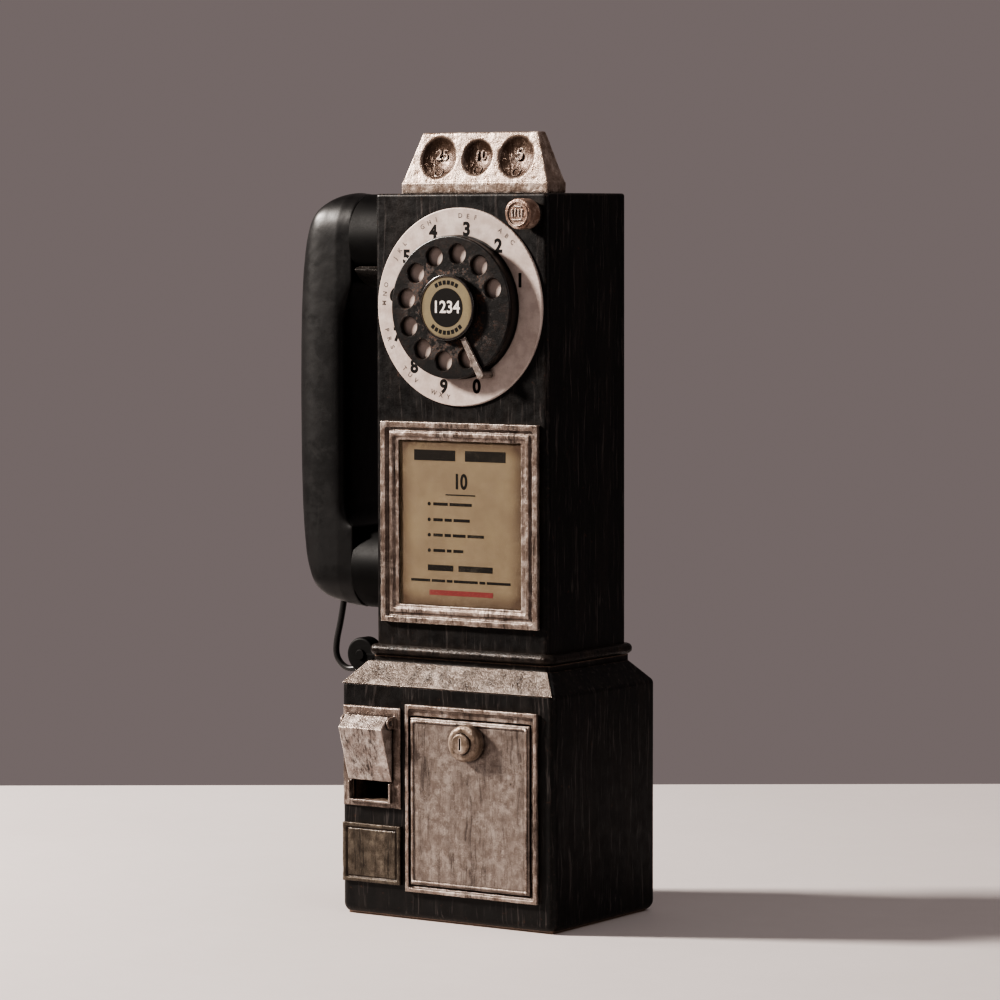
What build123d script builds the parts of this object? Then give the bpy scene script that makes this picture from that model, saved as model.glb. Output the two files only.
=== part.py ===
from build123d import *
from math import atan2, cos, pi, radians, sin, sqrt, tan
import os

# A three-slot coin telephone. The frame is in millimetres: +X to the viewer's right, +Y to
# the back, +Z up, with the origin at the middle of the underside of the lower housing.

# ---- driving sizes -------------------------------------------------------------------
# lower housing
lower_width = 150.6
lower_depth = 111.2
wall_height = 137.6         # floor to the foot of the shoulders
shoulder_rise = 12.8
shoulder_side_run = 10.8
shoulder_front_run = 12.0
slope_plate_thickness = 0.8
slope_plate_inset = 1.2
slope_plate_head_gap = 0.4
shoulder_soft = 4.0         # rounding of the uprights and of the side and rear shoulders
foot_soft = 6.0             # rounding of the bottom edge
upright_soft = 3.0          # rounding of the upper housing's uprights

# upper housing
upper_width = 121.8
upper_depth = 85.0
upper_set_back = 16.0       # lower front face to upper front face
body_height = 427.0
neck_height = 3.5
neck_margin = 1.6
top_soft = 1.6

# shared metal work
wall = 3.0
rear_wall = 6.0
ceiling = 4.0               # metal under the shoulders
past = 1.0                  # how far a cut runs past a face, or one solid into the next
cover_thickness = 2.5
cover_margin = 5.0          # housing side to the edge of a rear cover
cover_gap = 0.2
flange_width = 9.0          # ledge that a rear cover is screwed to
cover_screw_radius = 1.9
cover_screw_inset = 5.0
cover_land = 2.0            # soft edge of the housing to the edge of a rear cover
screw_head_radius = 3.4
screw_head_height = 1.2
screw_play = 0.2
fixing_hole_radius = 2.75   # wall fixings in the lower rear cover
fixing_spacing_x = 90.0
fixing_spacing_z = 70.0
fixing_centre_z = 70.0

# collar bead
bead_height = 6.4
bead_overhang = 4.6
bead_round = 2.94           # almost half its height

# coin gauge
gauge_base_width = 103.4
gauge_base_depth = 20.0
gauge_plinth = 6.5
gauge_height = 36.0
gauge_top_width = 81.0
gauge_top_depth = 8.4
gauge_set_back = 14.0       # upper front face to the gauge's base
gauge_lean = 7.0            # how far the top edge stands behind the base edge
cup_centre_rise = 21.0      # housing top to the middle of the cups
cup_spacing = 27.4
cup_radii = (13.4, 11.4, 13.4)
cup_depth = 4.6
gauge_step = 0.5            # plinth edge to the sloping faces
gauge_edge_soft = 1.2
slot_spacing = 24.4
slot_lengths = (25.0, 18.6, 22.0)
slot_width = 2.4
slot_margin = 0.5           # passage under the gauge, round the slots
chute_wall = 2.2
chute_length = 112.0

# dial
dial_drop = 66.2            # housing top to the dial's centre
plate_radius = 58.0
plate_thickness = 1.5
plate_edge_soft = 0.7
plateau_radius = 40.8
plateau_height = 7.0        # from the housing face
wheel_radius = 41.8
wheel_front = 10.5          # from the housing face
wheel_thickness = 2.9
wheel_edge_soft = 1.0
hole_chamfer = 0.5
hole_radius = 5.75
hole_pitch_radius = 31.6
hole_count = 10
hole_step = 30.0
first_hole_angle = 21.0
hub_radius = 19.4
hub_height = 4.2            # in front of the wheel
hub_edge_soft = 0.8
hub_card_radius = 17.8
hub_card_depth = 0.9
hub_card_thickness = 0.6
stop_angle = -60.5
stop_width = 4.6
stop_tip_width = 3.3
stop_edge_soft = 0.5
stop_thickness = 1.6
stop_foot_radius = 44.6     # from the dial's centre
stop_hub_gap = 0.8
stop_play = 0.7
shaft_radius = 3.0
shaft_play = 0.04
shaft_end_gap = 1.0
spring_radius = 13.0
spring_bore = 7.0
spring_thickness = 2.5
spring_gap = 1.0            # spring to the main gear
bearing_radius = 6.5
bearing_set_back = 1.0      # behind the face of the plateau
bearing_overrun = 1.0       # into the dial case
bearing_play = 0.02
case_radius = 34.0
case_depth = 18.0
case_wall = 1.6
case_rear_lip = 2.0         # edge left round the opening in the back of the case
gear_teeth = 36
pinion_teeth = 12
gear_module = 1.0
gear_width = 2.0
gear_set_back = 6.0         # case wall to the gears
tooth_slack = 0.5
tooth_root = 1.15           # in modules, as is the tip
tooth_tip = 0.8
tooth_flare = 1.0           # foot of a tooth wider than its middle
tooth_flank = 66.0          # degrees
tooth_bury = 0.2            # foot of a tooth into the disc
mesh_play = 0.25
pinion_bore = 1.5
post_overrun = 1.5

# push button
button_radius = 9.0
button_edge_gap = 11.7      # housing side to the button's centre
button_drop = 12.0          # housing top to the button's centre
button_reach = 14.0
button_travel = 2.5
button_skirt_gap = 3.0
button_face_wall = 2.4
button_skirt_wall = 1.1
button_play = 0.1
button_edge_soft = 1.3
stem_radius = 2.4
shank_radius = 4.5          # of the bush, through the housing wall
shank_play = 0.1
nut_width = 12.0
nut_thickness = 3.0
nut_end_gap = 0.6
clip_wall = 1.6
clip_thickness = 0.9
clip_gap = 0.2
stem_overrun = 1.5          # stem behind the bush
spring_room = 1.8           # left round the pressed spring
spring_wire_room = 1.2      # bush edge to the spring's outer edge
spring_wire = 1.4

# instruction frame
frame_width = 111.0
frame_bottom_rise = 13.9    # top of the bead to the frame
frame_dial_gap = 9.5        # top of the frame to the number plate
frame_base = 1.8
frame_outer_bead = 3.6
frame_outer_rise = 3.4
frame_inner_rise = 2.8
frame_inner_bead = 2.8
frame_step = 2.4
card_border = 12.4
card_extra_height = 2.6
card_thickness = 0.4
window_thickness = 1.2

# lower front
column_edge_gap = 2.0
column_width = 41.6
column_gap = 4.2
return_plate_bottom = 65.0
return_plate_height = 60.0
return_plate_thickness = 1.5
plate_chamfer = 0.7
flap_width = 31.0
flap_height = 40.0
flap_reach = 12.0
flap_fall = 8.0             # how far the top face drops to its front edge
flap_foot = 1.6
flap_pivot_reach = 3.9
flap_pivot_drop = 0.9
flap_brow = 0.6             # front of the top face, from the pin's centre
flap_brow_rise = 0.2
flap_play = 0.3
flap_top_gap = 4.0
return_opening_margin = 1.5 # flap's side to the opening's side
return_opening_overlap = 24.0 # how far the opening runs up behind the flap
ear_thickness = 1.4
pin_radius = 1.2
pin_play = 0.08
tray_floor_rise = 4.6       # bottom of the plate to the tray floor
tray_lip_rise = 3.0
tray_lip_width = 1.4
tray_lip_top_gap = 0.8       # top of the lip to the flap
tray_wall = 1.4
tray_depth = 34.0
panel_bottom = 20.0
panel_height = 35.0
panel_base = 1.0
panel_rim = 2.4
panel_rim_rise = 2.2
panel_field_rise = 1.7
panel_groove = 1.2

# vault
vault_edge_gap = 10.3
vault_bottom = 17.0
vault_height = 111.0
vault_border_left = 3.0
vault_border_right = 5.2
vault_border_bottom = 4.3
vault_border_top = 7.4
vault_frame_base = 1.2
vault_bead = 2.6
vault_bead_rise = 3.0
door_play = 0.5
door_front_rise = 2.3
door_thickness = 5.0
lock_drop = 12.4            # top of the door to the lock
lock_ring_radius = 11.0
lock_ring_rise = 7.5
lock_plug_radius = 6.0
lock_plug_rise = 9.5
lock_play = 0.08
lock_ring_soft = 3.2
lock_plug_soft = 1.0
lock_face_gap = 0.05
keyway_width = 1.2
keyway_height = 7.0
keyway_depth = 3.0
lock_shaft_radius = 4.0
tongue_length = 18.5
tongue_thickness = 2.0
tongue_width = 7.0
tongue_hub_radius = 5.5
tongue_gap = 0.6
tongue_room = 8.0           # left above the cash box and the liner for the tongue
liner_wall = 1.6
box_play = 0.8
box_wall = 1.2
box_depth = 78.0
box_front_gap = 2.2
box_rear_gap = 1.5

# handset and its cord
handset_y = 3.0             # plane that the handset hangs in
handle_depth = 46.0
handle_soft = 22.0
handle_end_soft = 20.0
back_bulge = 48.0           # cap joint to the outermost point of the handle's back
grip_thickness = 40.5
crown_radius = 28.0
back_arc_share = 0.4115     # of the shorter of the back's two runs, on each side of its bow
chin_radius = 26.0
crown_inset = 5.9           # outermost point of the back to the crown's corner
chin_inset = 3.1            # the same for the chin's corner
chin_rise = 9.7             # bottom of the handset to the chin's corner
bow_drop = 7.25             # middle of the handset to the outermost point
bow_overrun = 1.5           # the corner there stands outside its arc
grip_ear_flare = 22.0       # length of the grip's flare at the ear cap
grip_mouth_flare = 6.0
grip_corner_radius = 12.0
cap_radius = 26.0
mouth_cap_radius = 25.0
cap_joint_x = 31.2          # housing side to the joint between handle and caps
cap_gap = 4.0               # housing side to the face of a cap
cap_wall = 3.0
cap_edge_soft = 2.5
handset_drop = 0.0          # housing top to the top of the ear cap
handset_foot_rise = 17.2    # top of the bead to the bottom of the handset
capsule_thickness = 12.0
capsule_play = 0.3
capsule_face_gap = 0.5
capsule_back_share = 0.6
sound_hole = 1.3
sound_hole_ring = 7.0
lever_play = 0.4
lever_trough_wall = 3.4
lever_trough_sweep = 50.0
trough_end_gap = 2.0
lever_gap = 7.0             # housing side to the trough
lever_arm_width = 10.0
lever_arm_thickness = 5.0
lever_pivot_inset = 13.0    # housing side to the lever's pivot
lever_drop = 1.0            # trough to the top of the arm
lever_slot_rise = 6.0
lever_slot_side_play = 1.5
lever_boss_radius = 4.5
lever_tail_length = 18.0
lever_tail_thickness = 3.0
lever_overlap = 8.0         # length of the arm under the trough
hook_pin_radius = 2.0
bracket_cheek = 2.0
bracket_gap = 0.6
bracket_width = 12.0
cord_diameter = 3.8
bush_radius = 2.9
bush_gap = 0.4              # the cord leaves the bush on a slant
bush_length = 7.0
bush_edge_soft = 0.8
outlet_radius = 10.4
outlet_thickness = 9.0
outlet_hub_radius = 3.2
outlet_hub_rise = 1.2
outlet_edge_soft = 1.6
outlet_hub_soft = 0.5
outlet_arm_overrun = 2.0    # arm into the housing's shoulder, before it is trimmed
outlet_arm_radius = 4.6

# ringer
ringer_plate_thickness = 2.0
ringer_plate_height = 96.0
ringer_plate_side_gap = 1.0
ringer_plate_rise = 20.0    # middle of the bells to the middle of the plate
gong_radius = 17.0
gong_height = 9.0
gong_wall = 1.5
gong_spacing = 40.0
gong_post_radius = 2.5
gong_stand = 12.0           # plate to the bells' rims
ringer_z = 205.0
coil_radius = 8.5
coil_half_length = 18.0
coil_rise = 46.0            # middle of the bells to the coil
coil_stand = 9.0            # plate to the coil's axis
coil_cheek = 18.0
coil_cheek_thickness = 1.5
clapper_reach = 22.0
clapper_hub_radius = 4.0
clapper_wire = 1.6
clapper_thickness = 2.0
clapper_ball_radius = 1.7
clapper_ball_length = 3.0
clapper_pin_radius = 1.5
clapper_pin_overrun = 3.0

# terminal block
block_width = 20.0
block_height = 44.0
block_depth = 10.0
block_side_gap = 6.0
block_rise = 100.0          # middle of the bells to the middle of the block
terminal_radius = 2.6
terminal_rise = 2.0
terminal_pitch_x = 9.0
terminal_pitch_z = 8.0

# ---- places worked out from the sizes ------------------------------------------------
lower_front = -lower_depth / 2
lower_back = lower_depth / 2
shoulder_top = wall_height + shoulder_rise
neck_top = shoulder_top + neck_height
upper_front = lower_front + upper_set_back
upper_back = upper_front + upper_depth
upper_mid = (upper_front + upper_back) / 2
upper_side = upper_width / 2
lower_side = lower_width / 2
dial_z = body_height - dial_drop
bead_top = neck_top + bead_height
frame_bottom = bead_top + frame_bottom_rise
frame_height = dial_z - plate_radius - frame_dial_gap - frame_bottom
ear_top = body_height - handset_drop
mouth_bottom = bead_top + handset_foot_rise
handset_length = ear_top - mouth_bottom


def front(y):
    """A sketch plane that faces the viewer: local x is X, local y is Z, outward is -Y."""
    return Plane(origin=(0, y, 0), x_dir=(1, 0, 0), z_dir=(0, -1, 0))


def front_at(x, y, z):
    """The same plane with its origin at a point."""
    return Plane(origin=(x, y, z), x_dir=(1, 0, 0), z_dir=(0, -1, 0))


def across(x):
    """A sketch plane seen from the right: local x is Y, local y is Z, outward is +X."""
    return Plane(origin=(x, 0, 0), x_dir=(0, 1, 0), z_dir=(1, 0, 0))


def save(part, name):
    part.label = name
    export_step(part, f"parts/{name}.step")


os.makedirs("parts", exist_ok=True)

# ---- lower housing -------------------------------------------------------------------
shoulder_top_width = lower_width - 2 * shoulder_side_run
shoulder_top_depth = lower_depth - 2 * shoulder_front_run

with BuildPart() as lower_form:
    with BuildSketch(Plane.XY):
        Rectangle(lower_width, lower_depth)
    extrude(amount=wall_height)
    with BuildSketch(Plane.XY.offset(wall_height)):
        Rectangle(lower_width, lower_depth)
    with BuildSketch(Plane.XY.offset(shoulder_top)):
        Rectangle(shoulder_top_width, shoulder_top_depth)
    loft()
    upright = lower_form.edges().filter_by(Axis.Z)
    # the side and rear shoulders are soft, and the front one is crisp
    shoulder = lower_form.edges().filter_by(
        lambda edge: wall_height <= round(edge.center().Z, 3) < shoulder_top
    )
    crisp = shoulder.sort_by(Axis.Y)[0]
    fillet(list(set(upright + shoulder) - {crisp}), shoulder_soft)
    fillet(lower_form.edges().group_by(Axis.Z)[0], foot_soft)

# the bright plate that lies on the front slope
slope_length = sqrt(shoulder_rise**2 + shoulder_front_run**2)
slope_plane = Plane(
    origin=(0, lower_front, wall_height), x_dir=(1, 0, 0), z_dir=(0, -shoulder_rise, shoulder_front_run)
)
with BuildPart() as slope_panel:
    with BuildSketch(slope_plane):
        with BuildLine():
            Polyline(
                (-lower_side + slope_plate_inset, 0),
                (lower_side - slope_plate_inset, 0),
                (shoulder_top_width / 2 - slope_plate_inset, slope_length - slope_plate_head_gap),
                (-shoulder_top_width / 2 + slope_plate_inset, slope_length - slope_plate_head_gap),
                close=True,
            )
        make_face()
    extrude(amount=slope_plate_thickness)
save(slope_panel.part, "slope_panel")

cover_half = lower_side - cover_margin
lower_cover_bottom = foot_soft + cover_land
lower_cover_top = wall_height - shoulder_soft - cover_land
lower_cover_z = (lower_cover_bottom + lower_cover_top) / 2
lower_cover_height = lower_cover_top - lower_cover_bottom
throat_width = upper_width - 2 * wall - 2 * flange_width
throat_depth = upper_depth - rear_wall - wall - flange_width
throat_y = upper_front + wall + throat_depth / 2

left_column_right = -lower_side + column_edge_gap + column_width
vault_left = left_column_right + column_gap
vault_right = lower_side - vault_edge_gap
vault_width = vault_right - vault_left
door_left = vault_left + vault_border_left
door_right = vault_right - vault_border_right
door_bottom = vault_bottom + vault_border_bottom
door_top = vault_bottom + vault_height - vault_border_top
door_width = door_right - door_left
door_height = door_top - door_bottom
door_x = (door_left + door_right) / 2
door_z = (door_bottom + door_top) / 2
column_x = -lower_side + column_edge_gap + column_width / 2

# coin return: opening in the plate and the wall behind the flap
flap_bottom = return_plate_bottom + return_plate_height - flap_top_gap - flap_height
flap_top = flap_bottom + flap_height
tray_floor = return_plate_bottom + tray_floor_rise
return_opening_width = flap_width - 2 * return_opening_margin
return_opening_top = flap_bottom + return_opening_overlap
return_opening_height = return_opening_top - tray_floor
return_opening_z = tray_floor + return_opening_height / 2

with BuildPart() as lower_housing:
    add(lower_form.part)
    # neck that the upper housing stands on
    with BuildSketch(Plane.XY.offset(shoulder_top - past)):
        with Locations((0, upper_mid)):
            RectangleRounded(upper_width + 2 * neck_margin, upper_depth + 2 * neck_margin, upright_soft)
    extrude(amount=neck_height + past)
    # inside
    with BuildSketch(Plane.XY):
        with Locations((0, (wall - rear_wall) / 2)):
            Rectangle(lower_width - 2 * wall, lower_depth - wall - rear_wall)
    extrude(amount=wall_height - ceiling, mode=Mode.SUBTRACT)
    # throat into the upper housing
    with BuildSketch(Plane.XY.offset(wall_height - ceiling - past)):
        with Locations((0, throat_y)):
            Rectangle(throat_width, throat_depth)
    extrude(amount=neck_top - wall_height + ceiling + 2 * past, mode=Mode.SUBTRACT)
    # rear cover pocket and opening
    with BuildSketch(front(lower_back)):
        with Locations((0, lower_cover_z)):
            Rectangle(2 * cover_half, lower_cover_height)
    extrude(amount=cover_thickness, mode=Mode.SUBTRACT)
    with BuildSketch(front(lower_back)):
        with Locations((0, lower_cover_z)):
            Rectangle(2 * (cover_half - flange_width), lower_cover_height - 2 * flange_width)
    extrude(amount=rear_wall + past, mode=Mode.SUBTRACT)
    # vault and coin return openings in the front wall
    with BuildSketch(front(lower_front)):
        with Locations((door_x, door_z)):
            Rectangle(door_width + 2 * door_play, door_height + 2 * door_play)
        with Locations((column_x, return_opening_z)):
            Rectangle(return_opening_width, return_opening_height)
    extrude(amount=-(wall + past), mode=Mode.SUBTRACT)
    # screw holes of the rear cover
    with BuildSketch(front(lower_back)):
        with Locations((0, lower_cover_z)):
            with GridLocations(
                2 * (cover_half - cover_screw_inset),
                lower_cover_height - 2 * cover_screw_inset,
                2,
                2,
            ):
                Circle(cover_screw_radius + screw_play)
    extrude(amount=rear_wall + past, mode=Mode.SUBTRACT)
save(lower_housing.part, "lower_housing")

with BuildPart() as lower_back_cover:
    with BuildSketch(front(lower_back)):
        with Locations((0, lower_cover_z)):
            Rectangle(2 * (cover_half - cover_gap), lower_cover_height - 2 * cover_gap)
            with GridLocations(
                2 * (cover_half - cover_screw_inset),
                lower_cover_height - 2 * cover_screw_inset,
                2,
                2,
            ):
                Circle(cover_screw_radius + screw_play, mode=Mode.SUBTRACT)
        with Locations((0, fixing_centre_z)):
            with GridLocations(fixing_spacing_x, fixing_spacing_z, 2, 2):
                Circle(fixing_hole_radius, mode=Mode.SUBTRACT)
    extrude(amount=cover_thickness)
save(lower_back_cover.part, "lower_back_cover")

with BuildPart() as base_plate:
    with BuildSketch(Plane.XY):
        with Locations((0, (wall - rear_wall) / 2)):
            Rectangle(lower_width - 2 * wall - cover_gap, lower_depth - wall - rear_wall - cover_gap)
    extrude(amount=wall)
save(base_plate.part, "base_plate")

# ---- upper housing -------------------------------------------------------------------
upper_cover_half = upper_side - cover_margin
upper_cover_bottom = bead_top + cover_land
upper_cover_top = body_height - cover_margin
upper_cover_z = (upper_cover_bottom + upper_cover_top) / 2
upper_cover_height = upper_cover_top - upper_cover_bottom
button_x = upper_side - button_edge_gap
button_z = body_height - button_drop
slot_y = upper_front + gauge_set_back + gauge_lean + gauge_top_depth / 2
slot_centres = (-slot_spacing, 0, slot_spacing)
gauge_slots_length = 2 * slot_spacing + max(slot_lengths)
ear_z = ear_top - cap_radius
mouth_z = mouth_bottom + mouth_cap_radius
pivot_x = -upper_side + lever_pivot_inset
trough_inner = cap_radius + lever_play
trough_outer = trough_inner + lever_trough_wall
arm_top_z = ear_z - trough_inner - lever_drop
arm_z = arm_top_z - lever_arm_thickness / 2

with BuildPart() as upper_housing:
    with BuildSketch(Plane.XY.offset(neck_top)):
        with Locations((0, upper_mid)):
            RectangleRounded(upper_width, upper_depth, upright_soft)
    extrude(amount=body_height - neck_top)
    fillet(upper_housing.edges().group_by(Axis.Z)[-1], top_soft)
    # inside
    with BuildSketch(Plane.XY.offset(neck_top)):
        with Locations((0, upper_mid + (wall - rear_wall) / 2)):
            Rectangle(upper_width - 2 * wall, upper_depth - wall - rear_wall)
    extrude(amount=body_height - wall - neck_top, mode=Mode.SUBTRACT)
    # rear cover pocket, opening and screw holes
    with BuildSketch(front(upper_back)):
        with Locations((0, upper_cover_z)):
            Rectangle(2 * upper_cover_half, upper_cover_height)
    extrude(amount=cover_thickness, mode=Mode.SUBTRACT)
    with BuildSketch(front(upper_back)):
        with Locations((0, upper_cover_z)):
            Rectangle(2 * (upper_cover_half - flange_width), upper_cover_height - 2 * flange_width)
            with GridLocations(
                2 * (upper_cover_half - cover_screw_inset), upper_cover_height - 2 * cover_screw_inset, 2, 2
            ):
                Circle(cover_screw_radius + screw_play)
    extrude(amount=rear_wall + past, mode=Mode.SUBTRACT)
    # dial bearing, button shank and the handset lever's slot
    with BuildSketch(front(upper_front)):
        with Locations((0, dial_z)):
            Circle(bearing_radius)
        with Locations((button_x, button_z)):
            Circle(shank_radius + shank_play)
    extrude(amount=-(wall + past), mode=Mode.SUBTRACT)
    with BuildSketch(across(-upper_side)):
        with Locations((handset_y, arm_z + lever_slot_rise / 3)):
            Rectangle(lever_arm_width + 2 * lever_slot_side_play, lever_arm_thickness + lever_slot_rise)
    extrude(amount=wall + past, mode=Mode.SUBTRACT)
    # coin passage under the gauge
    with BuildSketch(Plane.XY.offset(body_height)):
        with Locations((0, slot_y)):
            Rectangle(gauge_slots_length + 2 * slot_margin, slot_width + 2 * slot_margin)
    extrude(amount=-(wall + past), mode=Mode.SUBTRACT)
save(upper_housing.part, "upper_housing")

with BuildPart() as upper_back_cover:
    with BuildSketch(front(upper_back)):
        with Locations((0, upper_cover_z)):
            Rectangle(2 * (upper_cover_half - cover_gap), upper_cover_height - 2 * cover_gap)
            with GridLocations(
                2 * (upper_cover_half - cover_screw_inset), upper_cover_height - 2 * cover_screw_inset, 2, 2
            ):
                Circle(cover_screw_radius + screw_play, mode=Mode.SUBTRACT)
    extrude(amount=cover_thickness)
save(upper_back_cover.part, "upper_back_cover")

# pan-head screws, whose heads stand proud of the covers
with BuildPart() as cover_screws:
    for half, middle, height, back in (
        (cover_half, lower_cover_z, lower_cover_height, lower_back),
        (upper_cover_half, upper_cover_z, upper_cover_height, upper_back),
    ):
        with BuildSketch(front(back)):
            with Locations((0, middle)):
                with GridLocations(2 * (half - cover_screw_inset), height - 2 * cover_screw_inset, 2, 2):
                    Circle(cover_screw_radius)
        extrude(amount=rear_wall + past)
        with BuildSketch(front(back)):
            with Locations((0, middle)):
                with GridLocations(2 * (half - cover_screw_inset), height - 2 * cover_screw_inset, 2, 2):
                    Circle(screw_head_radius)
        extrude(amount=-screw_head_height)
save(cover_screws.part, "cover_screws")

with BuildPart() as collar_bead:
    with BuildSketch(Plane.XY.offset(neck_top)):
        with Locations((0, upper_mid)):
            RectangleRounded(
                upper_width + 2 * bead_overhang, upper_depth + 2 * bead_overhang, upright_soft + bead_overhang
            )
    extrude(amount=bead_height)
    fillet(collar_bead.edges().group_by(Axis.Z)[0], bead_round)
    fillet(collar_bead.edges().group_by(Axis.Z)[-1], bead_round)
    with BuildSketch(Plane.XY.offset(neck_top)):
        with Locations((0, upper_mid)):
            RectangleRounded(upper_width, upper_depth, upright_soft)
    extrude(amount=bead_height, mode=Mode.SUBTRACT)
save(collar_bead.part, "collar_bead")

# ---- coin gauge and chute ------------------------------------------------------------
gauge_front = upper_front + gauge_set_back
gauge_base_y = gauge_front + gauge_base_depth / 2
gauge_slope_rise = gauge_height - gauge_plinth
lean_angle = atan2(gauge_lean, gauge_slope_rise)
cup_up = cup_centre_rise - gauge_plinth
cup_face_y = gauge_front + gauge_lean * cup_up / gauge_slope_rise

with BuildPart() as coin_gauge:
    with BuildSketch(Plane.XY.offset(body_height)):
        with Locations((0, gauge_base_y)):
            Rectangle(gauge_base_width, gauge_base_depth)
    extrude(amount=gauge_plinth)
    with BuildSketch(Plane.XY.offset(body_height + gauge_plinth)):
        with Locations((0, gauge_base_y)):
            Rectangle(gauge_base_width - 2 * gauge_step, gauge_base_depth - 2 * gauge_step)
    with BuildSketch(Plane.XY.offset(body_height + gauge_height)):
        with Locations((0, slot_y)):
            Rectangle(gauge_top_width, gauge_top_depth)
    loft()
    fillet(coin_gauge.edges().group_by(Axis.Z)[-1], gauge_edge_soft)
    for number, cup_radius in enumerate(cup_radii):
        ball_radius = (cup_radius**2 + cup_depth**2) / (2 * cup_depth)
        out = ball_radius - cup_depth
        with Locations(
            (
                (number - 1) * cup_spacing,
                cup_face_y - out * cos(lean_angle),
                body_height + cup_centre_rise + out * sin(lean_angle),
            )
        ):
            Sphere(ball_radius, mode=Mode.SUBTRACT)
    with BuildSketch(Plane.XY.offset(body_height + gauge_height)):
        for slot_x, slot_length in zip(slot_centres, slot_lengths):
            with Locations((slot_x, slot_y)):
                Rectangle(slot_length, slot_width)
    extrude(amount=-(gauge_height + past), mode=Mode.SUBTRACT)
save(coin_gauge.part, "coin_gauge")

with BuildPart() as coin_chute:
    with BuildSketch(Plane.XY.offset(body_height - wall)):
        with Locations((0, slot_y)):
            Rectangle(gauge_slots_length + 2 * chute_wall, slot_width + 2 * chute_wall)
        for slot_x, slot_length in zip(slot_centres, slot_lengths):
            with Locations((slot_x, slot_y)):
                Rectangle(slot_length, slot_width, mode=Mode.SUBTRACT)
    extrude(amount=-chute_length)
save(coin_chute.part, "coin_chute")

# ---- dial ----------------------------------------------------------------------------
plate_front = upper_front - plate_thickness
wheel_face = upper_front - wheel_front
hub_face = wheel_face - hub_height

with BuildPart() as number_plate:
    with BuildSketch(front_at(0, upper_front, dial_z)):
        Circle(plate_radius)
        Circle(bearing_radius, mode=Mode.SUBTRACT)
    extrude(amount=plate_thickness)
    fillet(number_plate.edges().group_by(Axis.Y)[0].sort_by(SortBy.RADIUS)[-1], plate_edge_soft)
    with BuildSketch(front_at(0, upper_front, dial_z)):
        Circle(plateau_radius)
        Circle(bearing_radius, mode=Mode.SUBTRACT)
    extrude(amount=plateau_height)
save(number_plate.part, "number_plate")

with BuildPart() as finger_wheel:
    with BuildSketch(front_at(0, wheel_face + wheel_thickness, dial_z)):
        Circle(wheel_radius)
    extrude(amount=wheel_thickness)
    fillet(finger_wheel.edges().group_by(Axis.Y)[0], wheel_edge_soft)
    with BuildSketch(front_at(0, wheel_face, dial_z)):
        with PolarLocations(hole_pitch_radius, hole_count, first_hole_angle, (hole_count - 1) * hole_step,
                            endpoint=True):
            Circle(hole_radius)
        Circle(shaft_radius)
    extrude(amount=-(wheel_thickness + past), mode=Mode.SUBTRACT)
    chamfer(
        finger_wheel.edges().filter_by(GeomType.CIRCLE).group_by(Axis.Y)[0].filter_by(
            lambda edge: abs(edge.radius - hole_radius) < 0.01
        ),
        hole_chamfer,
    )
save(finger_wheel.part, "finger_wheel")

with BuildPart() as hub_ring:
    with BuildSketch(front_at(0, wheel_face, dial_z)):
        Circle(hub_radius)
    extrude(amount=hub_height)
    fillet(hub_ring.edges().group_by(Axis.Y)[0], hub_edge_soft)
    with BuildSketch(front_at(0, hub_face, dial_z)):
        Circle(hub_card_radius)
    extrude(amount=-hub_card_depth, mode=Mode.SUBTRACT)
save(hub_ring.part, "hub_ring")

with BuildPart() as hub_card:
    with BuildSketch(front_at(0, hub_face + hub_card_depth, dial_z)):
        Circle(hub_card_radius)
    extrude(amount=hub_card_thickness)
save(hub_card.part, "hub_card")

case_front = upper_front + wall
case_back = case_front + case_depth
with BuildPart() as dial_case:
    with BuildSketch(front_at(0, case_front, dial_z)):
        Circle(case_radius)
        Circle(bearing_radius, mode=Mode.SUBTRACT)
    extrude(amount=-case_depth)
    with BuildSketch(front_at(0, case_front + case_wall, dial_z)):
        Circle(case_radius - case_wall)
    extrude(amount=-(case_depth - 2 * case_wall), mode=Mode.SUBTRACT)
    with BuildSketch(front_at(0, case_back, dial_z)):
        Circle(case_radius - case_wall - case_rear_lip)
    extrude(amount=case_wall + past, mode=Mode.SUBTRACT)
save(dial_case.part, "dial_case")

with BuildPart() as dial_bearing:
    with BuildSketch(front_at(0, upper_front - plateau_height + bearing_set_back, dial_z)):
        Circle(bearing_radius - bearing_play)
        Circle(shaft_radius + shaft_play, mode=Mode.SUBTRACT)
    extrude(amount=-(plateau_height - bearing_set_back + wall + case_wall + bearing_overrun))
save(dial_bearing.part, "dial_bearing")

gear_face = case_front + case_wall + gear_set_back
shaft_end = case_back - case_wall - shaft_end_gap
with BuildPart() as dial_shaft:
    with BuildSketch(front_at(0, wheel_face, dial_z)):
        Circle(shaft_radius)
    extrude(amount=-(shaft_end - wheel_face))
save(dial_shaft.part, "dial_shaft")


def toothed_disc(teeth, bore, turn):
    """Profile of a spur gear with straight-sided teeth, the first one at the given angle."""
    pitch = gear_module * teeth / 2
    root = pitch - tooth_root * gear_module
    tip = pitch + tooth_tip * gear_module
    foot_width = pi * gear_module / 2 - tooth_slack + tooth_flare
    Circle(root)
    with PolarLocations(0, teeth, turn):
        with Locations(((root - tooth_bury + tip) / 2, 0)):
            Trapezoid(foot_width, tip - root + tooth_bury, tooth_flank, rotation=-90)
    Circle(bore, mode=Mode.SUBTRACT)


with BuildPart() as main_gear:
    with BuildSketch(front_at(0, gear_face, dial_z)):
        toothed_disc(gear_teeth, shaft_radius, 90)
    extrude(amount=-gear_width)
save(main_gear.part, "main_gear")

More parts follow.
